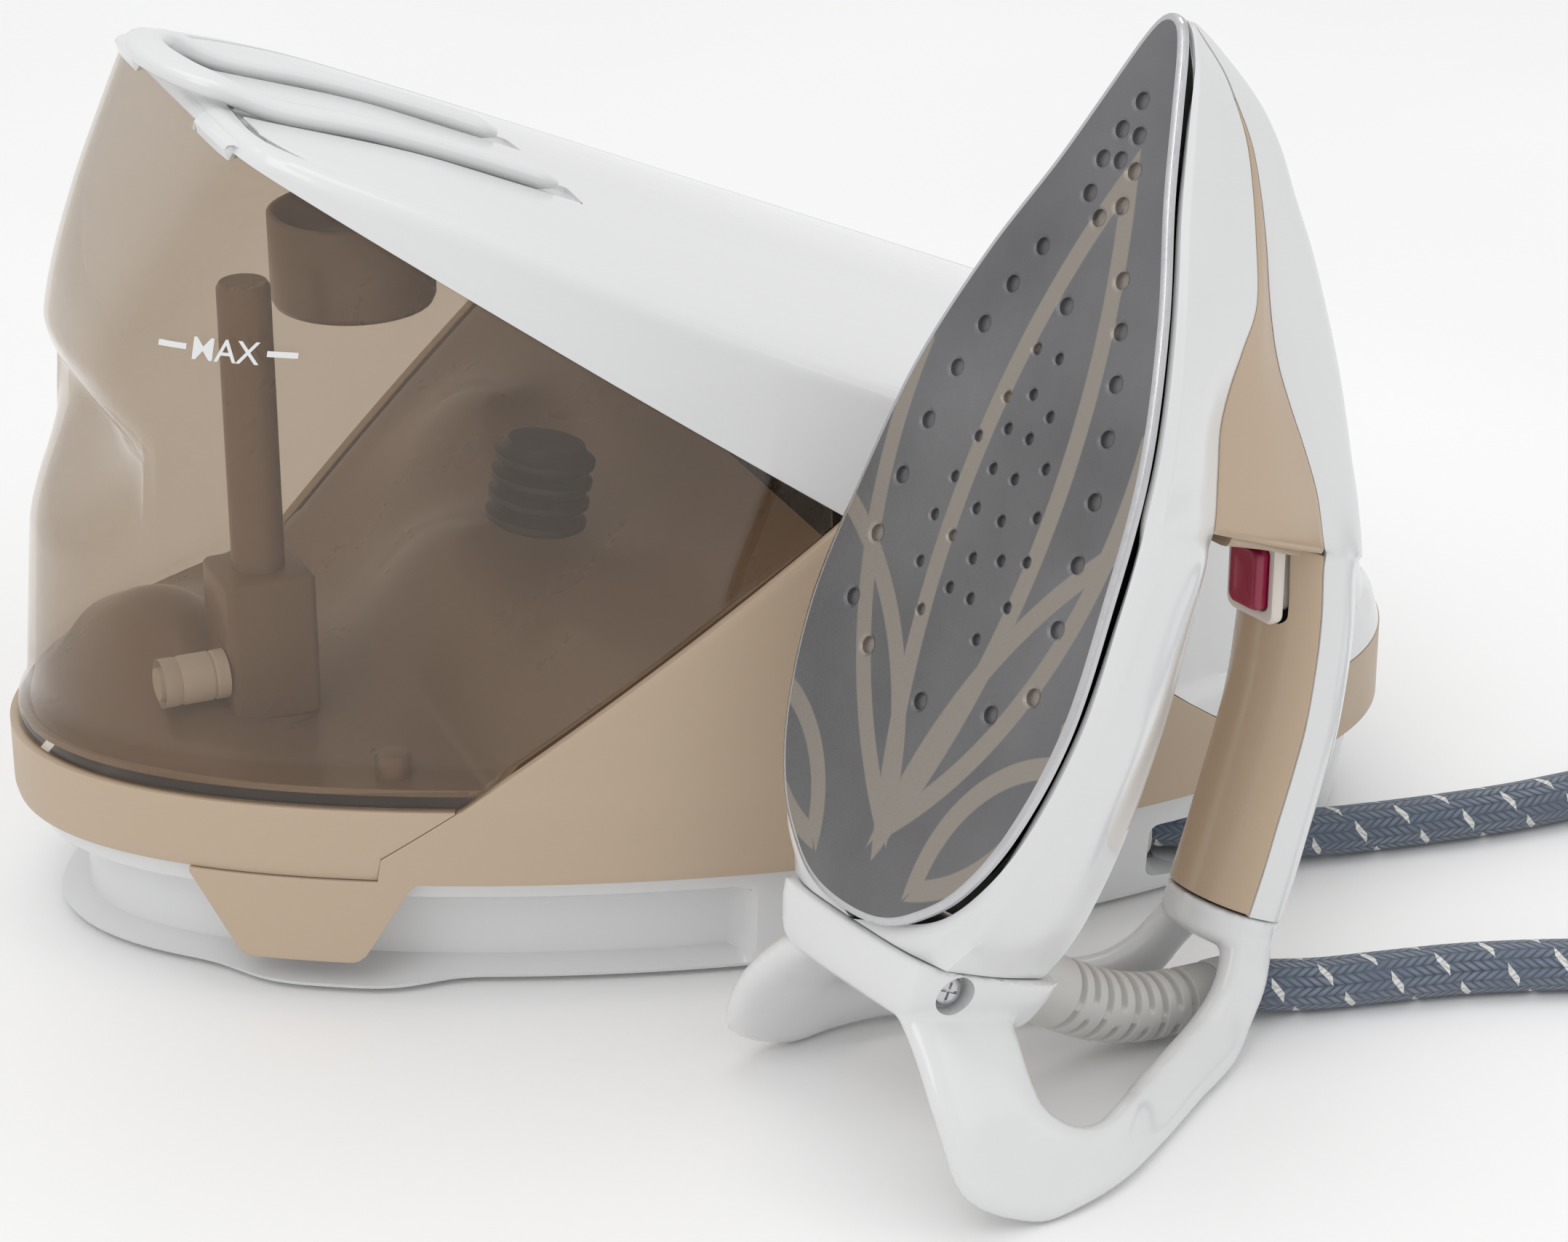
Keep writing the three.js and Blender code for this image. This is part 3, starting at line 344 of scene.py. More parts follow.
def turned(name, profile, axis_at, axis, around=64, closed=False):
    """Solid of revolution: profile of (radius, height) about an axis in the design frame."""
    axis = np.asarray(axis, float) / np.linalg.norm(axis)
    other = np.array([0, 0, 1.0]) if abs(axis[2]) < 0.9 else np.array([1.0, 0, 0])
    e1 = np.cross(other, axis)
    e1 /= np.linalg.norm(e1)
    e2 = np.cross(axis, e1)
    a = round_angles(around)
    ring = e1 * np.cos(a)[:, None] + e2 * np.sin(a)[:, None]
    grid = np.array([np.asarray(axis_at) + h * axis + r * ring for r, h in profile])
    caps = (False, False) if closed else (profile[0][0] > 0, profile[-1][0] > 0)
    return outward(grid_object(name, grid, wrap_rows=closed, wrap_cols=True, caps=caps))


def rounded_box(name, half, at, turn=None, bevel=1.0, segments=3):
    """A block with softened edges; turn maps its own axes to the design frame."""
    c = np.array([[x, y, z] for x in (-1, 1) for y in (-1, 1) for z in (-1, 1)], float) * half
    c = c @ (np.eye(3) if turn is None else np.asarray(turn)) + at
    faces = [(0, 1, 3, 2), (4, 6, 7, 5), (0, 4, 5, 1), (2, 3, 7, 6), (0, 2, 6, 4), (1, 5, 7, 3)]
    obj = outward(new_object(name, [tuple(p) for p in put(c)], faces))
    return softened(obj, bevel, segments, 20)


# ---------------------------------------------------------------- materials
def srgb(r, g, b):
    return tuple(
        (c / 255 / 12.92 if c / 255 <= 0.04045 else ((c / 255 + 0.055) / 1.055) ** 2.4)
        for c in (r, g, b)
    ) + (1.0,)


class Nodes:
    """Short hand for building a node tree."""

    def __init__(self, name):
        self.material = bpy.data.materials.new(name)
        self.material.use_nodes = True
        self.tree = self.material.node_tree
        self.tree.nodes.clear()
        self.out = self.tree.nodes.new("ShaderNodeOutputMaterial")

    def add(self, kind, inputs=None, **props):
        n = self.tree.nodes.new(kind)
        for k, v in props.items():
            setattr(n, k, v)
        for k, v in (inputs or {}).items():
            self.set(n.inputs[k], v)
        return n

    def set(self, socket, value):
        if isinstance(value, bpy.types.NodeSocket):
            self.tree.links.new(value, socket)
        elif isinstance(value, bpy.types.Node):
            self.tree.links.new(value.outputs[0], socket)
        else:
            socket.default_value = value

    def math(self, op, a, b=0.0, c=0.0):
        n = self.add("ShaderNodeMath", {0: a, 1: b, 2: c}, operation=op)
        return n.outputs[0]

    def plus(self, a, b):
        return self.math("ADD", a, b)

    def minus(self, a, b):
        return self.math("SUBTRACT", a, b)

    def times(self, a, b):
        return self.math("MULTIPLY", a, b)

    def coords(self):
        return self.add("ShaderNodeTexCoord").outputs["Object"]

    def noise(self, scale, detail=3.0, rough=0.5, vector=None):
        return self.add(
            "ShaderNodeTexNoise",
            {"Vector": vector or self.coords(), "Scale": scale, "Detail": detail, "Roughness": rough},
        ).outputs[0]

    def ramp(self, value, lo, hi, out_lo=0.0, out_hi=1.0):
        n = self.add(
            "ShaderNodeMapRange",
            {"Value": value, "From Min": lo, "From Max": hi, "To Min": out_lo, "To Max": out_hi},
        )
        return n.outputs[0]

    def mix(self, factor, a, b):
        n = self.add("ShaderNodeMix", data_type="RGBA")
        self.set(n.inputs[0], factor)
        self.set(n.inputs[6], a)
        self.set(n.inputs[7], b)
        return n.outputs[2]

    def bump(self, height, distance, strength=1.0, normal=None):
        n = self.add("ShaderNodeBump", {"Height": height, "Distance": distance, "Strength": strength})
        if normal is not None:
            self.set(n.inputs["Normal"], normal)
        return n.outputs[0]

    def principled(self, **inputs):
        n = self.add("ShaderNodeBsdfPrincipled")
        for k, v in inputs.items():
            self.set(n.inputs[k.replace("_", " ")], v)
        self.tree.links.new(n.outputs[0], self.out.inputs[0])
        return n


def moulded(name, colour, roughness, grain=0.00002, grain_scale=900, coat=0.0, tint=0.03):
    """Moulded plastic: faint colour drift, uneven gloss and a fine surface grain."""
    n = Nodes(name)
    drift = n.noise(6, 4)
    darker = tuple(c * (1 - 2 * tint) for c in colour[:3]) + (1.0,)
    base = n.mix(n.ramp(drift, 0.35, 0.65), darker, colour)
    smear = n.noise(35, 5, 0.6)
    rough = n.ramp(smear, 0.3, 0.7, roughness * 0.85, roughness * 1.15)
    normal = n.bump(n.noise(grain_scale, 2), grain)
    lacquer = {"Coat_Weight": coat, "Coat_Roughness": 0.06} if coat else {}
    n.principled(Base_Color=base, Roughness=rough, Normal=normal, IOR=1.5, **lacquer)
    return n.material


def metal(name, colour, roughness):
    """Brushed metal with faint stains."""
    n = Nodes(name)
    brush = n.noise(400, 3, 0.6)
    rough = n.ramp(brush, 0.3, 0.7, roughness * 0.7, roughness * 1.3)
    darker = tuple(c * 0.86 for c in colour[:3]) + (1.0,)
    base = n.mix(n.ramp(n.noise(30, 3), 0.3, 0.7), darker, colour)
    n.principled(Base_Color=base, Roughness=rough, Normal=n.bump(brush, 0.00003), Metallic=1.0)
    return n.material


WHITE = moulded("white_gloss", (0.74, 0.745, 0.75, 1), 0.2, 0.000012, 500, coat=0.25, tint=0.008)
WHITE_SATIN = moulded("white_satin", (0.78, 0.785, 0.79, 1), 0.34, 0.00002, 1100, tint=0.008)
BEIGE = moulded("beige_satin", srgb(190, 170, 147), 0.42, 0.000022, 1400, tint=0.012)
BEIGE_GLOSS = moulded("beige_gloss", srgb(186, 163, 137), 0.24, 0.00001, 700, coat=0.3, tint=0.02)
BLACK = moulded("black_plastic", (0.018, 0.018, 0.02, 1), 0.45, 0.00003, 900)
GREY = moulded("grey_plastic", srgb(205, 203, 200), 0.42, 0.00003, 1000)
PALE = moulded("pale_plastic", srgb(226, 218, 210), 0.35, 0.00002, 900)
RED = moulded("trigger_red", srgb(152, 14, 62), 0.22, 0.00001, 500, coat=0.4)
RUBBER = moulded("rubber", (0.03, 0.03, 0.032, 1), 0.7, 0.00006, 700)
STEEL = metal("steel", (0.62, 0.62, 0.64, 1), 0.3)
BRASS = metal("brass", (0.72, 0.55, 0.28, 1), 0.32)
BOARD = moulded("board_green", (0.02, 0.12, 0.05, 1), 0.5, 0.00008, 300)


def smoked(name, tint, haze=0.06, haze_colour=(0.2, 0.14, 0.1, 1), rough=0.025):
    """Clear tinted plastic: each face passes tinted light, reflects by Fresnel, and is a little hazy."""
    n = Nodes(name)
    waves = n.bump(n.noise(14, 2), 0.0004)
    clear = n.add("ShaderNodeBsdfTransparent", {"Color": tint})
    dull = n.add("ShaderNodeBsdfDiffuse", {"Color": haze_colour})
    body = n.add("ShaderNodeMixShader", {0: n.ramp(n.noise(9, 4), 0.3, 0.7, haze * 0.7, haze * 1.3)})
    n.tree.links.new(clear.outputs[0], body.inputs[1])
    n.tree.links.new(dull.outputs[0], body.inputs[2])
    gloss = n.add("ShaderNodeBsdfGlossy", {"Color": (1, 1, 1, 1), "Roughness": rough, "Normal": waves})
    facing = n.add("ShaderNodeLayerWeight", {"Blend": 0.5, "Normal": waves}).outputs["Facing"]
    mirror = n.plus(n.times(n.math("POWER", facing, 4.0), 0.75), 0.035)
    both = n.add("ShaderNodeMixShader", {0: mirror})
    n.tree.links.new(body.outputs[0], both.inputs[1])
    n.tree.links.new(gloss.outputs[0], both.inputs[2])
    n.tree.links.new(both.outputs[0], n.out.inputs[0])
    return n.material


SMOKED = smoked("smoked_clear", (0.86, 0.815, 0.76, 1))
SMOKED_PART = moulded("smoked_part", srgb(146, 124, 102), 0.3, 0.00001, 500, coat=0.2, tint=0.05)


def braid():
    """Herringbone braid in slate blue, with painted shade between the threads and white flecks in a spiral.
    """
    n = Nodes("braid")
    uv = n.add("ShaderNodeUVMap").outputs[0]
    parts = n.add("ShaderNodeSeparateXYZ", {0: uv})
    around, run = parts.outputs[0], parts.outputs[1]  # turns, and braid repeats along the hose
    lanes = 16.0
    lane = n.times(around, lanes)
    across = n.math("FRACT", lane)
    pair = n.math("FRACT", n.times(lane, 0.5))
    zigzag = n.math("ABSOLUTE", n.minus(n.times(pair, 2.0), 1.0))
    yarn = n.math("FRACT", n.plus(run, n.times(zigzag, 1.25)))
    thread = n.math("SINE", n.times(yarn, math.pi))
    ridge = n.math("SINE", n.times(across, math.pi))
    height = n.times(n.math("POWER", thread, 0.6), n.math("POWER", ridge, 0.35))
    fibre = n.noise(5000, 2)
    height = n.plus(height, n.times(fibre, 0.25))
    # Painted shade: the braid's colour runs from dark slate where the weave is low, between the threads, to
    # light slate on their crowns.
    shade = n.ramp(height, 0.25, 1.1)
    base = n.mix(shade, srgb(58, 66, 78), srgb(128, 139, 156))
    base = n.mix(n.ramp(n.noise(60, 3), 0.35, 0.7), base, srgb(98, 109, 126))
    # Flecks: two spirals of short white floats.
    flecks = None
    for phase in (0.0, 0.5):
        turned_by = n.minus(around, n.times(run, 0.085))
        spiral = n.math("FRACT", n.plus(turned_by, phase))
        near = n.math("LESS_THAN", n.math("ABSOLUTE", n.minus(spiral, 0.5)), 0.032)
        beat = n.math("FRACT", n.times(run, 0.42))
        on = n.math("LESS_THAN", beat, 0.5)
        one = n.times(near, on)
        flecks = one if flecks is None else n.math("MAXIMUM", flecks, one)
    base = n.mix(flecks, base, srgb(232, 232, 228))
    normal = n.bump(height, 0.0007)
    n.principled(
        Base_Color=base, Roughness=0.78, Normal=normal,
        Sheen_Weight=0.35, Sheen_Roughness=0.5, Specular_IOR_Level=0.3,
    )
    return n.material


BRAID = braid()


def piece(obj, body, material, slot, *nodes):
    obj.data.materials.clear()
    obj.data.materials.append(material)
    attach(obj, body)
    if nodes:
        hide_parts(*nodes)
    return obj


def turned_piece(name, profile, at, axis, around, sharp, *finish):
    """A turned solid as a finished piece; finish is what piece() takes after the object."""
    return piece(sharpen(turned(name, profile, at, axis, around), sharp), *finish)


# ---------------------------------------------------------------- camera
VIEW_AZIMUTH = math.radians(-23.365)
VIEW_ELEVATION = math.radians(24.297)
VIEW_DISTANCE = 1306.76
VIEW_TARGET = np.array([22.527, 0.0, 52.109])
back = np.array(
    [
        math.sin(VIEW_AZIMUTH) * math.cos(VIEW_ELEVATION),
        -math.cos(VIEW_AZIMUTH) * math.cos(VIEW_ELEVATION),
        math.sin(VIEW_ELEVATION),
    ]
)
camera_data = bpy.data.cameras.new("camera")
camera_data.sensor_width = 36.0
camera_data.lens = 98.03
camera_data.clip_end = 20
camera = linked("camera", camera_data)
camera.location = put(VIEW_TARGET + back * VIEW_DISTANCE)
camera.rotation_euler = Vector(-back).to_track_quat("-Z", "Y").to_euler()
bpy.context.scene.camera = camera

# ---------------------------------------------------------------- hose
HOSE_D = 14.5
OUTLET_AT = np.array([84.5, -100.6, 17])
OUTLET_AXIS = np.array([0.966, -0.258, 0])
RELIEF = [
    (4, -201, 34), (17, -198.6, 25.5), (30, -196.3, 18), (44, -193.6, 12.6), (57, -191.4, 10.5),
    (68, -190, 9.9),
]
RELIEF = np.vstack([iron([(-9, 0, 47), (-16, 0, 54)]), np.array(RELIEF, float)])
END = RELIEF[-1] - RELIEF[-2]
END /= np.linalg.norm(END)
COLLAR_AT = RELIEF[-1] + 0.4 * END
IRON_HOSE = [
    (88, -191.2, 8.5), (102, -194.4, 7.6), (121, -198, 7.5), (142, -202.5, 7.5), (165, -210, 7.5),
    (190, -220.5, 7.5), (214, -233, 7.5),
]
BASE_HOSE = [
    (86, -101, 17), (95, -103.4, 17), (105, -106.1, 16), (117, -109, 13.4), (131, -111.6, 10.2),
    (147, -114.2, 8.2), (167, -117, 7.6), (190, -120, 7.5), (210, -121.8, 7.5), (227, -122, 7.5),
]
COIL_OUT, COIL_IN, COIL_MID = 87.4, 72.6, 80.0  # radii of the two turns on the floor and of the upper one
LOW, HIGH = 7.5, 20.6  # heights of those turns
TURN_IN, CLIMB, OVER_FROM = (510, 630), (925, 1000), 1065  # degrees round the coil
# The last stretch crosses over the outer turn and comes down beside it, by degrees round the coil.
OVER_R = [(1065, 79.5), (1090, 85), (1105, 91), (1118, 96), (1128, 99.5), (1138, 102), (1180, 102)]
OVER_Z = [
    (1065, 20.6), (1090, 22), (1105, 21.8), (1118, 19.6), (1128, 16), (1138, 11), (1150, 7.9), (1180, 7.5),
]


def hose_route():
    """The whole hose: out of the collar, along the floor, two and a half turns, over them and back."""
    points = [COLLAR_AT + 4.4 * END, COLLAR_AT + 11 * END] + [np.array(p, float) for p in IRON_HOSE]
    for degrees in range(228, 1171, 18):
        turn = math.radians(degrees)
        r = COIL_OUT + (COIL_IN - COIL_OUT) * smoothstep(degrees, *TURN_IN)
        lift = smoothstep(degrees, *CLIMB)
        r += (COIL_MID - COIL_IN) * lift
        z = LOW + (HIGH - LOW) * lift
        if degrees > OVER_FROM:
            r = np.interp(degrees, *zip(*OVER_R))
            z = np.interp(degrees, *zip(*OVER_Z))
        points.append(np.array([COIL_AT[0] + r * math.cos(turn), COIL_AT[1] + r * math.sin(turn), z]))
    points += [np.array([x, -122.0, LOW]) for x in (312, 284, 256)]
    points += [np.array(p, float) for p in BASE_HOSE[::-1]]
    return spline(np.array(points), 900)


hose_path = hose_route()
BRAID_PITCH = 2.9  # length of one braid repeat
hose = tube("hose", hose_path, HOSE_D / 2, 36, uv_scale=1 / BRAID_PITCH)
piece(hose, "base", BRAID, "braid", "hose_iron_side", "hose_coil", "hose_base_side")

# ---------------------------------------------------------------- base: outline and walls
NOSE_X, REAR_X, WIDE_X, HALF_W = -218.0, 197.0, 12.0, 133.0
# Where one piece ends and the next begins along the outline.
STATIONS = [-184.5, -138.9, -137.9, -118.8, -117.0, -15.5]


def base_ring(n=300):
    t = np.linspace(0, 1, 200)[:, None]
    a, b, c, d = np.array(
        [(NOSE_X, 0), (NOSE_X, -0.6 * HALF_W), (WIDE_X - 60, -HALF_W), (WIDE_X, -HALF_W)], float
    )
    front = (1 - t) ** 3 * a + 3 * (1 - t) ** 2 * t * b + 3 * (1 - t) * t**2 * c + t**3 * d
    angle = np.radians(np.linspace(90, 0, 1200))[1:]
    power = 2 / 3.4
    rear = np.stack(
        [
            WIDE_X + (REAR_X - WIDE_X) * np.cos(angle).clip(0) ** power,
            -HALF_W * np.sin(angle).clip(0) ** power,
        ],
        axis=1,
    )
    near = np.vstack([front, rear])
    run = run_along(near)
    stations = np.interp(STATIONS, near[:, 0], run)
    even = np.linspace(0, run[-1], n)
    clear = np.abs(even[:, None] - stations).min(axis=1) > 0.7
    even = np.sort(np.concatenate([even[clear], stations]))
    near = np.stack([np.interp(even, run, near[:, k]) for k in (0, 1)], axis=1)
    near[0, 1] = near[-1, 1] = 0
    ring = np.vstack([near, near[-2:0:-1] * (1, -1)])
    step = np.roll(ring, -1, axis=0) - np.roll(ring, 1, axis=0)
    normal = np.stack([-step[:, 1], step[:, 0]], axis=1)
    return ring, normal / np.linalg.norm(normal, axis=1)[:, None]


RING, NORMAL = base_ring()
COUNT = len(RING)
HALF = COUNT // 2
FRONT_WALL = [
    (60, -240), (90, -222), (118, -213), (150, -203.5), (170, -199), (185, -194), (205, -184),
    (224, -172.5), (242, -161.5), (262, -150),
]
SCOOP = [
    (60, 0), (117, 0), (126, 2), (136, 7), (146, 13.5), (153, 16), (158, 12), (164, 6), (170, 2), (175, 0),
    (262, 0),
]
WALL_INSET = [(60, 2.4), (67, 3.0), (70, 5.6), (180, 8), (262, 14)]


def front_shift(x, y, z):
    wall = table(FRONT_WALL, z)
    back = (x + wall + np.sqrt((x - wall) ** 2 + 14**2)) / 2
    span = np.clip(1 - (y / 46) ** 2, 0, 1) ** 0.8
    return back + table(SCOOP, z) * span * smoothstep(-x, 120, 160)


def wall_at(index, z, inset, leaning=True):
    """Points of the base wall: index into the ring (n), heights and insets (n, m)."""
    p = RING[index][:, None] + NORMAL[index][:, None] * inset[..., None]
    x, y = p[..., 0], p[..., 1]
    if leaning:
        x = np.where(z > 60, front_shift(x, y, np.maximum(z, 60)), x)
    return np.stack([x, y, z], axis=-1)


def rim_z(x):
    return np.maximum(131.6 - 0.695 * x, 60)


def top_z(x, y):
    return 174.2 - 0.439 * x + (4 + 6 * smoothstep(x, -165, -90)) * (1 - (y / 115) ** 2)


def panel_z(x):
    return 60 + 0.775 * (x + 117)


def wall_inset(z):
    return np.interp(z, *zip(*WALL_INSET))


def meet(index, height, inset, leaning=True):
    """Height at which the wall meets the surface z = height(x, y), for each outline point."""
    z = np.full((len(index), 1), 130.0)
    for _ in range(80):
        p = wall_at(index, z, inset(z), leaning)
        z = 0.5 * z + 0.5 * height(p[..., 0], p[..., 1])
    return z[:, 0]


def span_round_front(x_end):
    """Outline indices from the near side at x_end round the front to the far side."""
    near = [i for i in range(HALF) if RING[i, 0] <= x_end]
    return np.array(near[::-1] + [COUNT - i for i in near[1:]])


def span_round_rear(x_start):
    near = [i for i in range(HALF + 1) if RING[i, 0] >= x_start]
    return np.array(near + [COUNT - i for i in near[-2::-1]])


def levels(lo, hi, n):
    t = np.linspace(0, 1, n)
    return lo[:, None] + (hi - lo)[:, None] * t


def slab(name, index, z, inset, thick, leaning=True, bevel=0.5):
    """A wall of the base: its outer face at inset, its inner one thick behind, with softened edges."""
    outer = wall_at(index, z, inset, leaning)
    inner = wall_at(index, z, inset + thick, leaning)
    grid = np.concatenate([outer, inner[:, ::-1]], axis=1)
    return softened(loft(name, grid), bevel, 2, 50)


# ---------------------------------------------------------------- base: tray
def build_tray():
    groove_deep = smoothstep(-RING[:, 0], 38, 46)[:, None]
    bulge = 8 * np.exp(-(((RING[:, 0] + 152) / 26) ** 4))[:, None]
    rows = [
        (2.0, 14.5 - bulge), (2.2, 13.6 - bulge), (3.4, 13 - bulge),
        (4.4, 13 - bulge * 0.7 + groove_deep * 3),
        (6, 12.5 + 8.5 * groove_deep), (12, 12 + 9.3 * groove_deep), (20, 10.8 + 10.4 * groove_deep),
        (25.5, 9.8 + 11.2 * groove_deep), (27.6, 9.5 + 8.5 * groove_deep), (28.6, 9.3 + 2 * groove_deep),
        (30, 9 + 0.3 * groove_deep), (33, 8.2), (36.6, 7.5),
        (36.9, 8),
    ]
    index = np.arange(COUNT)
    grid = [
        wall_at(index, np.full((COUNT, 1), z), np.broadcast_to(k, (COUNT, 1)), False)[:, 0] for z, k in rows
    ]
    body = loft("tray", grid)
    pocket = [
        [(84, -134, 7.5), (146, -134, 0.5), (146, -134, 25), (84, -134, 26)],
        [(90, -92, 8.5), (146, -101, 1), (146, -101, 24), (90, -92, 25)],
    ]
    hollow = softened(loft("pocket", pocket), 3.0, 4, 30)
    ends = OUTLET_AT - 16 * OUTLET_AXIS, OUTLET_AT + 12 * OUTLET_AXIS
    bore = tube("bore", np.linspace(*ends, 4), 10.6, 40)
    inlet = tube("inlet", np.linspace((150, 80, 20), (150, 130, 20), 4).astype(float), 8.3, 40)
    return cut(body, hollow, bore, inlet)


piece(sharpen(build_tray(), 30), "base", WHITE, "white_gloss", "base_tray")


# ---------------------------------------------------------------- base: beige housing and band
TAB_EDGE = [
    (-184.5, 36.6), (-174, 14.6), (-172.8, 13.0), (-171, 12.3), (-146, 12.3), (-144, 13.0), (-142.5, 14.6),
    (-130, 37.3), (250, 37.3),
]


def band_joint(x):
    """Height of the slanted parting between the band and the side housing."""
    return 44.7 + 15.1 * (x + 138.6) / 20.3


def build_housing():
    """Side housing round the rear, with the tab that hangs from each front corner."""
    index = span_round_rear(-184.5)
    x = RING[index, 0]
    inset = lambda z: np.interp(z, [37.3, 60, 67, 160], [1.9, 2.0, 2.6, 5.5])
    joint = np.where(x < -117, band_joint(x) - 0.35, panel_z(x))
    hi = np.minimum(meet(index, lambda a, b: rim_z(a) - 0.2, inset, False), joint)
    hi = np.where(x < -138.4, 38.0, hi)
    lo = np.interp(x, *zip(*TAB_EDGE))
    z = levels(lo, np.maximum(hi, lo + 0.3), 22)
    return slab("housing", index, z, inset(z), 3.2, False)


housing = build_housing()
piece(sharpen(housing, 40), "base", BEIGE, "beige_satin", "side_housing")


def build_band():
    index = span_round_front(-118.8)
    x = RING[index, 0]
    lo = np.where(x > -138.4, band_joint(x), 38.4)
    z = levels(lo, np.full(len(index), 59.7), 10)
    inset = np.interp(z, [38.6, 40, 41], [2.6, 2.1, 1.9])
    return slab("band", index, z, inset, 3.0, False)


piece(build_band(), "base", BEIGE, "beige_satin", "tank_band")


# ---------------------------------------------------------------- tank
def build_tank_wall():
    index = span_round_front(-15.5)
    hi = meet(index, lambda a, b: rim_z(a) - 0.4, wall_inset)
    lo = meet(index, lambda a, b: np.maximum(60.3, panel_z(a + 0.3)), wall_inset)
    lo = np.minimum(np.maximum(lo, 60.3), hi - 0.5)
    t = np.linspace(0, 1, 90) ** 0.8
    z = lo[:, None] + (hi - lo)[:, None] * t
    return slab("tank_wall", index, z, wall_inset(z), 2.5)


piece(build_tank_wall(), "tank", SMOKED, "smoked_clear", "water_tank")


def half_width(x, z):
    """Half width of the base wall at length x and height z, found on the near side outline."""
    near = RING[: HALF + 1] + NORMAL[: HALF + 1] * wall_inset(z)
    xs = front_shift(near[:, 0], near[:, 1], np.full(len(near), float(z)))
    order = np.argsort(xs)
    return np.interp(x, xs[order], -near[order, 1])


def build_tank_floor():
    """Floor and sloped back of the tank, swelling up over what lies below it."""
    xs = np.concatenate([np.linspace(-212.6, -205, 12), np.linspace(-203, -17, 88)])
    ts = np.linspace(-1, 1, 70)
    grid = np.zeros((len(xs), len(ts), 3))
    for i, x in enumerate(xs):
        z = max(63.0, panel_z(x) - 4.5)
        w = max(half_width(x, z) - 2.9, 1)
        y = ts * w
        edge = np.clip((1 - np.abs(ts)) / 0.22, 0, 1) * smoothstep(x, -205, -180) * smoothstep(-x, 20, 60)
        swell = 26 * np.exp(-(((x + 168) / 26) ** 2 + ((y - 8) / 44) ** 2))
        swell += 24 * np.exp(-(((x + 92) / 24) ** 2 + ((y + 12) / 40) ** 2))
        swell += 16 * np.exp(-(((x + 60) / 22) ** 2 + ((y - 50) / 32) ** 2))
        grid[i] = np.stack([np.full(len(ts), x), y, z + swell * edge], axis=1)
    return solidify(outward_skin(grid_object("tank_floor", grid)), 2.0, 0.0)


piece(build_tank_floor(), "tank", SMOKED_PART, "smoked_part")
piece(
    turned(
        "filler_collar_ring",
        [(21.5, 176), (21.5, 203), (22.5, 203.2), (23.5, 202.6), (23.4, 178), (22.5, 176)],
        (-110, 0, 0), UP, 72, closed=True,
    ),
    "tank", SMOKED_PART, "smoked_part", "filler_collar",
)
VALVE_AT = (-150, -28, 0)
column = turned(
    "valve_column",
    [
        (0.0, 63.8), (15.4, 63.8), (16, 64.6), (15.6, 69), (8.2, 71), (7.5, 74), (7.5, 194.5), (6.6, 196),
        (0.0, 196),
    ],
    VALVE_AT, UP, 56,
)
cage = rounded_box("valve_cage", (13, 13, 21.5), (-150, -28, 90.5), None, 2.2, 4)
valve = join("tank_valve_body", [column, cage])
piece(sharpen(valve, 40), "tank", SMOKED_PART, "smoked_part", "tank_valve")
turned_piece(
    "outlet_pipe",
    [
        (0.0, 0), (4.6, 0), (4.6, 6), (6.2, 6), (7, 0.8), (7, 5), (6.6, 6), (7, 7), (7, 15), (6.5, 15.8),
        (7, 16.4), (7, 19.6), (5, 19.6), (0.0, 19.6),
    ],
    (-183, -35, 84), (1, 0, 0), 48, 30,
    "tank", PALE, "pale_plastic", "outlet_nozzle",
)
turned_piece(
    "peg",
    [(0.0, 63.7), (5, 63.7), (5, 70.4), (4.2, 71.8), (0.0, 72)],
    (-129, -78, 0), UP, 32, 30,
    "tank", SMOKED_PART, "smoked_part", "latch_peg",
)
bellows = [(0.0, 0.0)]
for rib in range(4):
    bellows += [(12.5, rib * 6.0), (14.5, rib * 6 + 1.5), (14.5, rib * 6 + 3.2), (12.0, rib * 6 + 4.6)]
bellows += [(11.0, 25.0), (0.0, 25.0)]
turned_piece(
    "tank_connector", bellows, (-72, -40, 116), (0.18, 0, 1), 48, 40, "tank", BLACK, "black_plastic"
)


def on_near_wall(points, z_mid, start_y, lift):
    """Maps flat (along, up) points, in millimetres, onto the near wall, from where it is start_y out."""
    near = np.arange(HALF // 2)
    placed = []
    for a, b in points:
        z = np.full((len(near), 1), z_mid + b)
        line = wall_at(near, z, wall_inset(z) - lift)[:, 0]
        run = run_along(line)
        at = np.interp(start_y, -line[:, 1], run) + a
        placed.append([np.interp(at, run, line[:, k]) for k in range(3)])
    return np.array(placed)


def build_level_mark():
    """The word between two dashes, laid on the tank wall."""
    text = bpy.data.curves.new("level_text", "FONT")
    text.body = "MAX"
    text.size = 9.0
    text.offset = 0.04
    text.resolution_u = 3
    holder = linked("level_text", text)
    bpy.context.view_layer.update()
    mesh = bpy.data.meshes.new_from_object(holder.evaluated_get(bpy.context.evaluated_depsgraph_get()))
    word = np.array([(v.co.x, v.co.y) for v in mesh.vertices])
    faces = [tuple(p.vertices) for p in mesh.polygons]
    bpy.data.objects.remove(holder)
    width = word[:, 0].max() - word[:, 0].min()
    word = word - (word[:, 0].min(), 0)
    verts = [(a + 10.5, b) for a, b in word]
    for x0 in (0.0, 10.5 + width + 2.0):
        for k in range(8):
            if k < 7:
                faces.append(tuple(len(verts) + j for j in (0, 1, 3, 2)))
            verts += [(x0 + k * 8.5 / 7, 2.4), (x0 + k * 8.5 / 7, 4.0)]
    placed = on_near_wall(verts, 187, 49, 0.25)
    mark = new_object("level_mark", [tuple(p) for p in put(placed)], faces, False)
    modify(mark, "SOLIDIFY", thickness=0.0002, offset=0)
    return bake_modifiers(mark)


piece(build_level_mark(), "tank", WHITE_SATIN, "white_gloss")


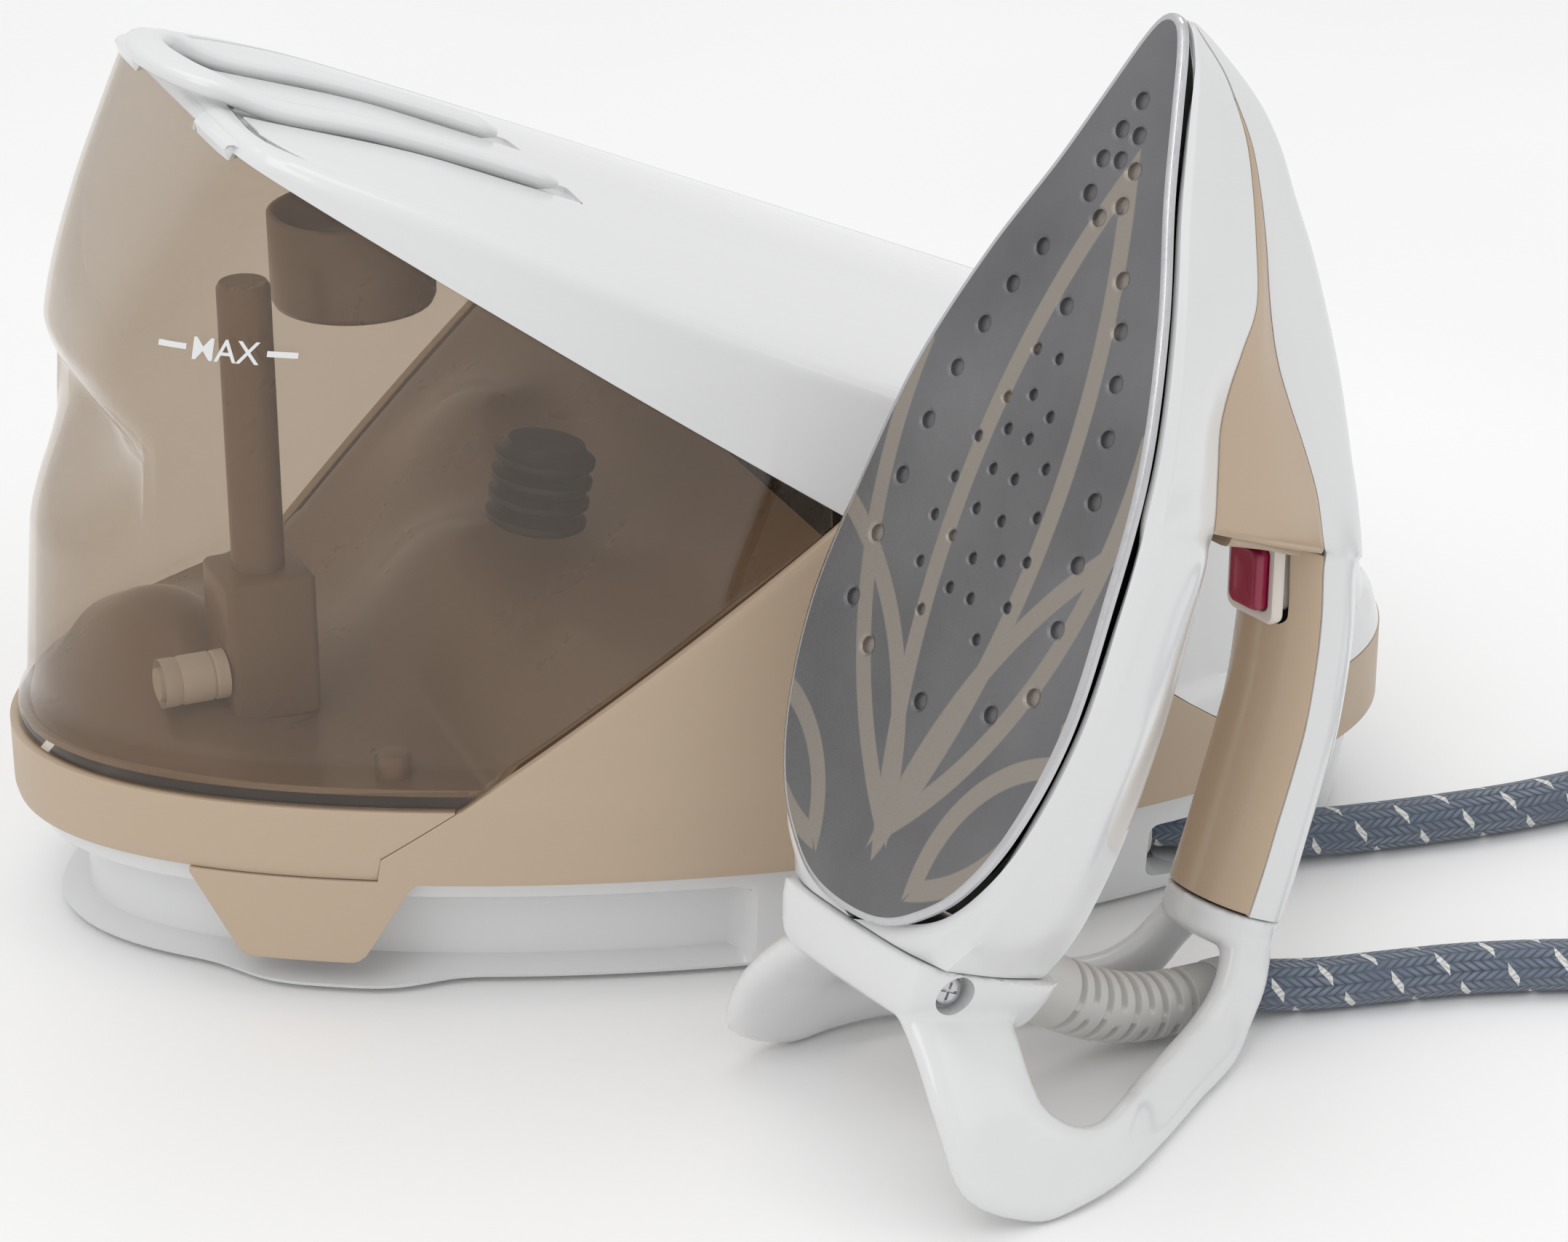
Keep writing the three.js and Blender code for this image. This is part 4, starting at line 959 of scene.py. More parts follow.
# ---------------------------------------------------------------- base: white top frame, plate and hoop
def frame_inset_at(index):
    x = RING[index, 0][:, None]
    return lambda z: wall_inset(z) + 0.2 * np.maximum(0, z - rim_z(x))


def inward(index, start, distance):
    """Points moved level and inwards from start by distance, along the outline's own normals."""
    xy = start[:, :2] + NORMAL[index] * distance
    return np.column_stack([xy, top_z(xy[:, 0], xy[:, 1])])


EDGE_OF_PLATE = []  # near half of the line where the plate is let into the frame


def build_frame():
    index = np.arange(COUNT)
    inset = frame_inset_at(index)
    lo = meet(index, lambda a, b: rim_z(a), inset)
    lo = np.maximum(lo, 60.2)
    hi = meet(index, top_z, inset)
    z = levels(lo, hi - 4.5, 26)
    wall = wall_at(index, z, inset(z))
    edge = wall_at(index, hi[:, None], inset(hi[:, None]))[:, 0]
    rows = [wall[:, k] for k in range(wall.shape[1])]
    below = rows[-1]
    # Round-over from the wall to the rest surface.
    reach = inward(index, edge, 5.0)
    for t in (0.25, 0.5, 0.75, 1.0):
        rows.append((1 - t) ** 2 * below + 2 * (1 - t) * t * edge + t**2 * reach)
    # The plate's edge runs along the rounded rim, at the depth that the plate is let in.
    depth = np.maximum(21.2 - inset(hi[:, None])[:, 0] - 5.0, 0.5)[:, None]
    plate_edge = inward(index, reach, depth)
    EDGE_OF_PLATE.append(plate_edge[: HALF + 1].copy())
    for t in (0.3, 0.6, 0.95):
        p = reach + (plate_edge - reach) * t
        p[:, 2] = top_z(p[:, 0], p[:, 1])
        rows.append(p)
    rows.append(plate_edge - (0, 0, 0.35))
    well = plate_edge + np.column_stack([NORMAL * 0.3, np.zeros(COUNT)])
    rows.append(well - (0, 0, 3.2))
    for f in (0.8, 0.5, 0.2, 0.02):
        p = well * (f, f, 1)
        p[:, 0] = well[:, 0] * f
        p[:, 2] = top_z(p[:, 0], p[:, 1]) - 3.3
        rows.append(p)
    inner = [(rows[0] + np.column_stack([NORMAL * 2.6, np.zeros(COUNT)])) + (0, 0, 0.2)]
    grid = np.array(inner + rows)
    return outward(grid_object("frame", grid, wrap_cols=True, caps=(False, True)))


top_frame = flip_to_sky(build_frame())
modify(top_frame, "SOLIDIFY", thickness=2.4 * MM, offset=-1)
bake_modifiers(top_frame)
piece(sharpen(top_frame, 28), "base", WHITE, "white_gloss", "top_frame")


def build_plate():
    xs = np.linspace(-149.5, 172.0, 240)
    line = EDGE_OF_PLATE[0]
    order = np.argsort(line[:, 0])
    corner = np.clip((-xs - 130) / 19.5, 0, 1)
    widths = np.interp(xs, line[order, 0], -line[order, 1]) - 0.3 - 12 * corner**2.5
    base_y = np.linspace(-1, 1, 61)
    grid = np.zeros((len(xs), len(base_y), 3))
    for i, x in enumerate(xs):
        w = max(widths[i], 0.5)
        y = base_y * w
        z = top_z(x, y) - 0.05
        rim = np.clip((w - np.abs(y)) / 1.2, 0, 1)
        z = z - 0.6 * (1 - rim) ** 2
        grid[i] = np.stack([np.full(len(y), x), y, z], axis=1)
    plate = flip_to_sky(grid_object("plate", grid))
    modify(plate, "SOLIDIFY", thickness=2.6 * MM, offset=-1)
    bake_modifiers(plate)
    lanes = []
    for side in (-1, 1):
        rows = []
        for x in np.linspace(-175, -52, 30):
            z = top_z(x, 25.0) - 2.0
            y0, y1 = side * 25 - 7, side * 25 + 7
            rows.append([(x, y0, z), (x, y1, z), (x, y1, z + 14), (x, y0, z + 14)])
        lanes.append(softened(loft("lane", rows), 1.2, 3, 50))
    return cut(plate, *lanes, overlapping=True)


piece(sharpen(build_plate(), 30), "base", WHITE, "white_gloss", "rest_plate")


def build_hoop():
    path = []
    for x in (-58, -85, -112, -138):
        path.append((x, -25, top_z(x, 25) + 1.9))
    for d in (70, 45, 20, 0, -20, -45, -70):
        a = math.radians(d)
        x, y = -146 - 19 * math.cos(a), -25 * math.sin(a)
        path.append((x, y, top_z(x, min(abs(y), 25)) + 4.4))
    for x in (-138, -112, -85, -58):
        path.append((x, 25, top_z(x, 25) + 1.9))
    curve = spline(np.array(path, float), 140)
    side, up = frames_on(curve)
    a = round_angles(28)
    end = np.minimum(1, 0.5 + np.minimum(np.arange(140), np.arange(140)[::-1]) * 0.17)[:, None]
    wide = 5.4 * np.sign(np.cos(a)) * np.abs(np.cos(a)) ** 0.8
    thick = 2.9 * np.sign(np.sin(a)) * np.abs(np.sin(a)) ** 0.8
    grid = curve[:, None] + (end * wide)[..., None] * side[:, None] + (end * thick)[..., None] * up[:, None]
    return loft("hoop", grid)


piece(sharpen(build_hoop(), 60), "hoop", WHITE, "white_gloss", "lock_hoop")

# ---------------------------------------------------------------- base: small parts
turned_piece(
    "power_key",
    [(0.0, 0), (8, 0), (8, 9), (7.6, 10.2), (6.8, 10.8), (5, 11), (0.0, 10.7)],
    (181, 0, 78), (1, 0, 0), 64, 40,
    "power_key", GREY, "grey_plastic", "power_button",
)
turned_piece(
    "mains_gland_body",
    [
        (0.0, 96), (7.9, 96), (7.9, 100), (7.4, 101), (7.9, 102), (7.9, 107.4), (7.3, 108.2), (5.7, 119.6),
        (5, 120), (3.1, 120), (3.1, 112), (0.0, 112),
    ],
    (150, 0, 20), (0, 1, 0), 48, 30,
    "base", BLACK, "black_plastic", "mains_gland",
)
turned_piece(
    "scale_plug_body",
    [(0.0, 2.5), (5.6, 2.5), (6, 2.9), (6, 12), (4, 14), (0.0, 14)],
    (120, -40, 0), UP, 48, 30,
    "base", GREY, "grey_plastic", "scale_plug",
)
FEET = {
    "foot_front_near": (-120, -62), "foot_front_far": (-120, 62),
    "foot_rear_near": (130, -78), "foot_rear_far": (130, 78),
}
for name, (x, y) in FEET.items():
    turned_piece(
        name + "_pad",
        [(0.0, 0.0), (8, 0), (8.6, 0.4), (9, 1.1), (8.8, 1.7), (0.0, 1.7)],
        (x, y, 0), UP, 48, 40,
        "base", RUBBER, "rubber", name,
    )
bush = turned(
    "outlet_bush",
    [(8.25, 0), (10.2, 0), (10.2, 8), (9.6, 9.4), (8.9, 10), (8.25, 9.6)],
    OUTLET_AT, OUTLET_AXIS, 56, closed=True,
)
piece(sharpen(bush, 40), "base", GREY, "grey_plastic", "hose_outlet")

# ---------------------------------------------------------------- iron
SOLE = [
    (0, 0), (1.6, 14), (7, 25), (19, 38), (39, 48), (68, 53.5), (101, 51.5), (135, 46.8), (169, 35.5),
    (198, 22), (219, 13.6), (233, 8), (239.4, 4.2), (241.2, 0),
]
HOLES_BIG = [
    (175.5, 15.8), (163.8, 21.5), (151.5, 26.4), (138.4, 30.4), (123, 33.8), (107.1, 36), (90.5, 37.3),
    (72.7, 37.7), (63.5, 25.7), (164.1, 0), (57.5, 0), (218.3, 0), (210, 3.3), (201.5, 6.2), (202.7, 0),
    (192.4, 6.3), (187.5, 0),
]
HOLES_SMALL = [
    (151.4, 4.4), (137.2, 8.6), (140.5, 0), (130, 4.3), (125, 13.7), (119.2, 4.4), (113, 16.8), (101.9, 19),
    (108.2, 5.1), (99.2, 10), (96.4, 0), (89.4, 18.1), (87, 4.3), (78.5, 11.5),
]


def sole_ring(inset, z, n=260):
    outline = SOLE + [(x, -y) for x, y in SOLE[-2:0:-1]]
    ring = spline(np.array(outline, float), n, closed=True)
    step = np.roll(ring, -1, axis=0) - np.roll(ring, 1, axis=0)
    step /= np.linalg.norm(step, axis=1)[:, None]
    inner = ring + inset * np.stack([step[:, 1], -step[:, 0]], axis=1)
    if np.abs(inner[:, 1]).max() > np.abs(ring[:, 1]).max() and inset > 0:
        inner = ring - inset * np.stack([step[:, 1], -step[:, 0]], axis=1)
    return np.column_stack([inner, np.full(n, float(z))])


def build_sole():
    edge = (
        (1.9, 0.0), (1.4, 0.03), (0.9, 0.18), (0.4, 0.45), (0.0, 0.9), (0.0, 2.2), (0.3, 2.6), (3, 2.6),
    )
    rows = [sole_ring(k, z) for k, z in edge]
    # The middle of the sole is one flat face, so that the holes cut it cleanly.
    grid = iron(np.array(rows))
    n = grid.shape[1]
    verts = [tuple(p) for p in put(grid.reshape(-1, 3))]
    faces = []
    for r in range(len(rows) - 1):
        for c in range(n):
            d = (c + 1) % n
            faces.append((r * n + c, r * n + d, (r + 1) * n + d, (r + 1) * n + c))
    faces.append(tuple(range(n)))
    faces.append(tuple(range((len(rows) - 1) * n, len(rows) * n))[::-1])
    plate = outward(new_object("sole", verts, faces))
    holes = []
    for spots, r in ((HOLES_BIG, 2.3), (HOLES_SMALL, 1.5)):
        for x, y in spots:
            for s in (-1, 1) if y else (1,):
                a = round_angles(28)
                circle = np.stack([np.cos(a), np.sin(a)], axis=1)
                rings = [(1.0, 1.7), (1.0, 0.5), (1.18, 0.22), (1.42, -0.02), (1.42, -1.0)]
                rows = [np.column_stack([circle * r * k + (x, s * y), np.full(28, z)]) for k, z in rings]
                holes.append(loft("hole", iron(rows)))
    return cut(plate, join("holes", holes), overlapping=True)


# Pale bands on the sole: from (u, v), to (u, v), and how far the arc bows sideways.
LEAVES = [
    ((22, 4), (200, 6), 17), ((22, 4), (200, 6), -17), ((24, 4), (148, 44), 16), ((24, 4), (118, 52), -9),
    ((24, 4), (148, -44), -16), ((24, 4), (96, -54), 12), ((14, 22), (74, 53), 13),
    ((14, 22), (60, 54), -9), ((12, -20), (62, -54), -14), ((12, -20), (44, -52), 7),
]


def sole_metal():
    """Satin ceramic-coated metal with pale curved bands laid out like long leaves."""
    n = Nodes("sole_metal")
    geo = n.coords()
    origin = Vector(put(IRON_AT))
    moved = n.add("ShaderNodeVectorMath", {0: geo, 1: tuple(origin)}, operation="SUBTRACT").outputs[0]
    u, v = (
        n.add("ShaderNodeVectorMath", {0: moved, 1: tuple(w / MM)}, operation="DOT_PRODUCT").outputs["Value"]
        for w in (IRON_LENGTH, IRON_SIDE)
    )
    # Long leaves that fan out from the heel: each arc runs between two points, bowed to one side.
    leaf = None
    for start, end, bow in LEAVES:
        start, end = np.array(start, float), np.array(end, float)
        chord = np.linalg.norm(end - start)
        radius = (chord**2 / 4 + bow**2) / (2 * abs(bow))
        across = np.array([-(end - start)[1], (end - start)[0]]) / chord
        centre = (start + end) / 2 + across * math.copysign(radius - abs(bow), -bow)
        du = n.minus(u, float(centre[0]))
        dv = n.minus(v, float(centre[1]))
        dist = n.math("SQRT", n.plus(n.times(du, du), n.times(dv, dv)))
        on = n.ramp(n.math("ABSOLUTE", n.minus(dist, float(radius))), 3.0, 2.5)
        # Only the side of the chord that the arc bows to, between its two ends.
        mu = n.times(n.minus(u, float(start[0])), float(across[0]))
        mv = n.times(n.minus(v, float(start[1])), float(across[1]))
        beyond = n.times(n.plus(mu, mv), math.copysign(1.0, bow))
        on = n.times(on, n.math("GREATER_THAN", beyond, 0.0))
        leaf = on if leaf is None else n.math("MAXIMUM", leaf, on)
    fine = n.noise(1400, 3, 0.6)
    cloud = n.noise(22, 4)
    dark = n.mix(n.ramp(cloud, 0.3, 0.7), srgb(104, 104, 106), srgb(122, 122, 124))
    base = n.mix(leaf, dark, srgb(150, 143, 135))
    normal = n.bump(fine, 0.00012)
    rough = n.ramp(fine, 0.3, 0.7, 0.3, 0.46)
    n.principled(Base_Color=base, Roughness=rough, Normal=normal, Metallic=0.55)
    return n.material


SOLE_METAL = sole_metal()
sole = piece(sharpen(build_sole(), 12), "iron", SOLE_METAL, "sole_metal", "soleplate")
sole.data.materials.append(STEEL)
rim_line = put(iron(sole_ring(0.0, 0.0)))
for face in sole.data.polygons:
    c = np.array(face.center)
    if len(face.vertices) < 8 and np.min(np.linalg.norm(rim_line - c, axis=1)) < 2.2 * MM:
        face.material_index = 1

# Rows: x, half width at the foot, foot z, joint with side panel (y, z), joint with spine (y, z), crown z.
PROW = [
    (240.6, 1.8, 4.2, 1.6, 6.0, 1.4, 6.3, 8.5), (238, 5.2, 4.2, 3.6, 8.5, 3.4, 9.5, 15),
    (232, 9.6, 4.4, 6.4, 16.5, 6.1, 17.6, 28), (226, 12.6, 4.6, 8.3, 22.3, 8.0, 23.5, 39),
    (218, 15.6, 4.9, 10.3, 28.8, 9.8, 31.3, 49), (209, 19.2, 5.2, 12.8, 33.2, 12, 37, 57.5),
    (196, 24.4, 5.6, 16.4, 38, 14.6, 43.8, 71), (180, 31.8, 6.2, 21.3, 42, 17.2, 51.4, 85.5),
    (168, 37, 6.6, 24.3, 40, 17.6, 60, 96), (158, 41, 7.0, 25.8, 39, 17.6, 70, 103.5),
    (148, 44.4, 7.4, 27.3, 39.4, 17.6, 81, 110.5), (137, 47.6, 7.8, 29.2, 42.4, 17.6, 92, 118.5),
    (124, 50.4, 8.2, 30.7, 46.5, 17.4, 102, 127),
]
# Rows: x, half width at the foot, shoulder half width, shoulder z, deck z.
STERN = [
    (-2, 33, 27, 50, 56), (8, 39.5, 30, 52, 58), (20, 44.6, 32, 53, 59), (40, 49.6, 33, 54, 60),
    (70, 54.4, 33, 53, 60), (100, 53, 32, 50, 59), (118, 51.2, 31, 47, 56),
]
HANDLE_Z = [
    (-2, 134), (9, 134.3), (33, 133), (47, 131.4), (62, 129.8), (76, 127.6), (94, 122.4), (106, 117.8),
    (120, 111.2), (124, 110),
]
HANDLE_A, HANDLE_C = 17.0, 16.0


def lerp(a, b, t):
    return a + (b - a) * t


def mirrored(half):
    """A half section from near foot to middle, completed on the far side."""
    far = [(x, -y, z) for x, y, z in half[::-1]]
    return half + far


def handle_point(x, degrees, grow=0.0):
    a = math.radians(degrees)
    z = float(table(HANDLE_Z, x))
    return (x, (HANDLE_A + grow) * math.cos(a), z + (HANDLE_C + grow) * math.sin(a))


def sole_half(x):
    """Half width of the soleplate at x."""
    return float(table(SOLE, x)) if x > 0 else 0.0


def build_skirt():
    rows = []
    for x, hw, sy, sz, dz in STERN:
        mid_y = lerp(hw, sy, 0.22)
        out = lerp(sole_half(x), hw, 0.6) + 0.5
        lip = spline([(x, sole_half(x) + 0.9, 4.2), (x, out, 5.2), (x, hw, 10.5)], 7)[:-1]
        side = np.vstack([lip, spline([(x, hw, 10.5), (x, mid_y, 30), (x, sy, sz)], 22)])
        deck = spline([(x, sy, sz), (x, sy * 0.55, dz - 1), (x, 1.0, dz)], 14)[1:]
        rows.append(mirrored([tuple(p) for p in np.vstack([side, deck])]))
    for x, hw, foot, by, bz, *_ in PROW[::-1]:
        edge = min(sole_half(x) + 0.9, hw - 0.1)
        lip = spline([(x, edge, 3.9), (x, lerp(edge, hw, 0.6), foot - 0.2), (x, hw, foot + 0.8)], 7)[:-1]
        mid = (x, lerp(hw, by, 0.4), lerp(foot, bz, 0.5))
        side = np.vstack([lip, spline([(x, hw, foot + 0.8), mid, (x, by, bz)], 22)])
        deck = spline([(x, by, bz), (x, by * 0.5, bz - 1), (x, min(1.0, by * 0.1), bz - 1)], 14)[1:]
        rows.append(mirrored([tuple(p) for p in np.vstack([side, deck])]))
    skirt = outward_skin(grid_object("skirt", iron(along(rows, 150))))
    return solidify(skirt, 2.0, 0.5, 2)


piece(build_skirt(), "iron", WHITE, "white_gloss", "lower_skirt")


def build_panel(side):
    rows = []
    for x, _, _, by, bz, sy, sz, _ in PROW[3:]:
        mid = (x, side * lerp(by, sy, 0.4), lerp(bz, sz, 0.5))
        rows.append(spline([(x, side * by, bz + 0.35), mid, (x, side * sy, sz - 0.35)], 26))
    rows.append(rows[-1] + (-1.8, 0, 0))
    return solidify(outward_skin(grid_object("panel", iron(along(rows, 110)))), 1.8, 0.4, 2)


piece(build_panel(1), "iron", BEIGE_GLOSS, "beige_satin", "side_panel_near")
piece(build_panel(-1), "iron", BEIGE_GLOSS, "beige_satin", "side_panel_far")


def build_spine():
    rows = []
    for x in (20.4, 33, 47, 62, 76, 94, 106, 118, 122.2):
        half = [handle_point(x, d) for d in (-20, 15, 50)] + [(x, 3.0, handle_point(x, 90)[2] - 0.1)]
        rows.append(spline(mirrored(half), 48))
    for x, _, _, _, _, sy, sz, cz in PROW[::-1]:
        half = [
            (x, sy, sz), (x, sy * 0.95, lerp(sz, cz, 0.4)), (x, sy * 0.72, lerp(sz, cz, 0.8)),
            (x, sy * 0.18, cz),
        ]
        rows.append(spline(mirrored(half), 48))
    return solidify(outward_skin(grid_object("spine", iron(along(rows, 180)))), 1.8, 0.5, 3)


piece(build_spine(), "iron", WHITE, "white_gloss", "spine_cover")

TRIGGER_X = 111.0


def under_handle(x):
    return handle_point(x, -90)[2]


TRIGGER_AT = np.array([TRIGGER_X, 0.0, under_handle(TRIGGER_X) + 1])
TRIGGER_TILT = math.atan2(under_handle(121) - under_handle(101), 20)
TILT_COS, TILT_SIN = math.cos(TRIGGER_TILT), math.sin(TRIGGER_TILT)


def trigger_frame(points):
    """Points of the trigger's own frame in the iron's frame."""
    p = np.asarray(points, float)
    x = TRIGGER_AT[0] + TILT_COS * p[..., 0] - TILT_SIN * p[..., 2]
    z = TRIGGER_AT[2] + TILT_SIN * p[..., 0] + TILT_COS * p[..., 2]
    return np.stack([x, p[..., 1], z], axis=-1)


def rounded_rect(hx, hy, z, r, n=9):
    pts = []
    for sx, sy, start in ((1, 1, 0), (-1, 1, 90), (-1, -1, 180), (1, -1, 270)):
        for d in np.linspace(0, 90, n):
            a = math.radians(start + d)
            pts.append((sx * (hx - r) + r * math.cos(a), sy * (hy - r) + r * math.sin(a), z))
    return np.array(pts)


def rect_loft(name, rows, closed=False):
    grid = iron(trigger_frame(np.array([rounded_rect(*row) for row in rows])))
    caps = (False, False) if closed else (True, True)
    return outward(grid_object(name, grid, wrap_rows=closed, wrap_cols=True, caps=caps))


def build_grip():
    rows = []
    angles = np.linspace(-21.4, -158.6, 40)
    for x in np.linspace(20.8, 121.5, 90):
        rows.append([handle_point(x, d, -0.02) for d in angles])
    shell = solidify(outward_skin(grid_object("grip_shell", iron(np.array(rows)))), 2.4, 0.4, 2)
    face = [(27.5, 57), (25, 62), (16.4, 84), (13, 99), (8, 105)]
    outline = spline([(y, z) for y, z in face] + [(-y, z) for y, z in face[::-1]], 60)
    post_ends = ((119.0, 0.9), (119.3, 0.97), (120.5, 1.0), (121.8, 1.0))
    post_rows = [np.column_stack([np.full(60, x), outline * (k, 1)]) for x, k in post_ends]
    post = loft("post", iron(post_rows))
    grip = join("grip_body", [shell, post])
    opening = rect_loft("opening", [(12.9, 9.9, -10, 3), (12.9, 9.9, 4.4, 3)])
    # Room behind the bezel for the key's stroke.
    room = [
        [(x, -8, z), (x, 8, z), (x, 8, z + up), (x, -8, z + up)]
        for x, z, up in ((99.5, 90, 22), (122.5, 84, 20))
    ]
    return cut(grip, opening, loft("room", iron(room)), overlapping=True)


piece(sharpen(build_grip(), 32), "iron", BEIGE_GLOSS, "beige_satin", "grip")
bezel = rect_loft(
    "bezel",
    [
        (10.4, 7.7, 4, 3), (10.4, 7.7, 0.6, 3), (12.5, 9.5, 0.2, 3), (12.6, 9.6, -0.4, 3),
        (12.5, 9.5, -2.4, 3), (11.9, 9.0, -3.2, 3), (10.4, 7.6, -3.2, 2.7), (9.6, 6.8, -2.8, 2.6),
        (9.4, 6.6, -2, 2.6), (9.4, 6.6, 4, 2.6),
    ],
    closed=True,
)
piece(sharpen(bezel, 35), "iron", PALE, "pale_plastic", "trigger_bezel")
key = rect_loft(
    "key",
    [
        (9, 6.2, 3.4, 2.4), (9, 6.2, -4.0, 2.4), (8.8, 6.0, -5.2, 2.4), (8.3, 5.5, -6.0, 2.3),
        (7.4, 4.6, -6.35, 2.0), (5.5, 3.0, -6.1, 1.5), (3.0, 1.2, -5.9, 0.6),
    ],
)
piece(sharpen(key, 50), "trigger_key", RED, "trigger_red", "trigger")

# Heel: body, two open loops and the end of the handle, melted into one moulding.
LOOP = [
    ((-14, 18, 8), (-10, 18, 44), 4.5),
    ((-24, 31, 11), (-18, 31, 44), 4.5),
    ((-40, 45, 16), (-26, 40, 45.5), 4.2),
    ((-54.6, 53, 26), (-31, 45, 49), 4),
    ((-57.2, 57, 48), (-33.5, 48, 58), 4),
    ((-51.6, 57.5, 61), (-32, 47, 68), 4),
    ((-44.6, 54, 76), (-27, 43.5, 77), 4),
    ((-36.6, 46, 94), (-24, 34, 90), 4),
    ((-27.4, 35, 114), (-15, 25.5, 107), 4),
    ((-18.5, 26, 131.5), (-8.5, 20, 118), 4),
    ((-9, 19.5, 139), (-1, 17.5, 124), 4),
    ((2, 17, 142), (6, 15, 126), 4),
    ((14, 12, 143), (14, 11, 127), 4.5),
]
# Section of a loop's bar: how far from its inner to its outer edge, and half thicknesses to the side.
BAR = (
    (0, 0.35), (0.14, 0.9), (0.5, 1), (0.88, 0.85), (1, 0.2), (1, -0.3), (0.86, -0.9), (0.5, -1),
    (0.14, -0.9), (0, -0.35),
)
RELIEF_R = [(0, 8.6), (0.2, 10), (0.45, 10.2), (1, 8.8)]  # strain relief radius along its run


def build_heel():
    def section(x, y, z0, z1):
        half = [(x, y, z0 + 4), (x, y, z1 - 10), (x, y * 0.7, z1)]
        far = [(x, -b, c) for _, b, c in half[::-1]]
        ring = half + far + [(x, -y * 0.8, z0), (x, y * 0.8, z0)]
        return spline(ring, 64, closed=True)

    stations = ((-20, 21, 12, 46), (-17, 27, 7, 54), (-9, 30, 4.5, 57), (-2.4, 31, 3.4, 58))
    solids = [loft("heel_body", iron(along([section(*r) for r in stations], 24)))]
    for s in (-1, 1):
        rings = []
        for k, (o, i, t) in enumerate(LOOP):
            before, after = LOOP[max(0, k - 1)], LOOP[min(len(LOOP) - 1, k + 1)]
            o, i = np.array(o, float), np.array(i, float)
            run = np.array(after[0], float) + after[1] - before[0] - before[1]
            run /= np.linalg.norm(run)
            wide = o - i
            across = np.cross(run, wide)
            across *= t / np.linalg.norm(across)
            ring = [i + wide * f + across * g for f, g in BAR]
            rings.append(spline(np.array(ring) * (1, s, 1), 36, closed=True))
        solids.append(loft("loop", iron(along(rings, 100))))
    tail = []
    for x, k, dz in ((9, 0.7, 1.5), (10, 0.84, 0.8), (12, 0.97, 0), (20, 1, 0)):
        a = round_angles(48)
        z = table(HANDLE_Z, x) + dz + k * HANDLE_C * np.sin(a)
        tail.append(np.column_stack([np.full(48, x), k * HANDLE_A * np.cos(a), z]))
    solids.append(loft("tail", iron(tail)))
    heel = join("heel_moulding", solids)
    modify(heel, "REMESH", mode="VOXEL", voxel_size=1.1 * MM)
    modify(heel, "SMOOTH", factor=0.5, iterations=7)
    bake_modifiers(heel)
    axis = spline(RELIEF, 60)
    start = axis[0] - (axis[1] - axis[0]) / np.linalg.norm(axis[1] - axis[0]) * 3
    axis = np.vstack([start, axis])
    radii = table(RELIEF_R, np.linspace(0, 1, len(axis)))[:, None] + 1.0
    cutters = [tube("socket", axis, radii, 40)]
    for s in (-1, 1):
        a, b = iron([(-9, s * 40, 17), (-9, s * 24, 20)])
        cutters.append(tube("recess", np.linspace(a, b, 4), 5.6, 40))
    return cut(heel, *cutters)


piece(sharpen(build_heel(), 45), "iron", WHITE, "white_gloss", "heel_frame")
for name, s in (("near", 1), ("far", -1)):
    a, b = iron([(-9, s * 24.8, 19.8), (-9, s * 27.3, 19.3)])
    axis = (b - a) / np.linalg.norm(b - a)
    head = turned(
        "screw", [(0.0, 0), (4.2, 0), (4.2, 1.4), (3.7, 2.1), (2.4, 2.5), (0.0, 2.52)], a, axis, 40
    )
    e1 = np.cross(axis, IRON_LENGTH)
    e1 /= np.linalg.norm(e1)
    turn = np.array([e1, np.cross(axis, e1), axis])
    slots = [rounded_box("slot", half, b, turn, 0.15, 2) for half in ((2.4, 0.42, 1.1), (0.42, 2.4, 1.1))]
    piece(sharpen(cut(head, *slots), 30), "iron", STEEL, "steel", "heel_screw_" + name)


def build_relief():
    n, around = 520, 64
    path = spline(RELIEF, n)
    t = np.linspace(0, 1, n)
    run = t * np.sum(np.linalg.norm(np.diff(path, axis=0), axis=1))
    a = round_angles(around)
    radius = np.repeat(table(RELIEF_R, t)[:, None], around, axis=1)
    pitch = 5.6
    for k in range(7, 23):
        middle = (k + 0.5) * pitch
        if middle > run[-1] - 5:
            break
        depth = 2.1 * np.exp(-(((run - middle) / 1.15) ** 6))[:, None]
        open_side = 0 if k % 2 else math.pi
        bridge = smoothstep(np.abs(np.angle(np.exp(1j * (a - open_side)))), 0.25, 0.4)[None]
        other = smoothstep(np.abs(np.angle(np.exp(1j * (a - open_side - math.pi)))), 0.1, 0.2)[None]
        radius = radius - depth * bridge * (0.25 + 0.75 * other)
    return tube("relief", path, radius, around)


piece(sharpen(build_relief(), 50), "iron", GREY, "grey_plastic", "strain_relief")
turned_piece(
    "collar",
    [(8.25, 4.2), (8.25, 9), (8.7, 9.3), (9.1, 8.6), (9.1, 0.6), (8.6, 0), (0.0, 0), (0.0, 4.2)],
    COLLAR_AT, END, 64, 40,
    "iron", WHITE, "white_gloss", "hose_collar",
)


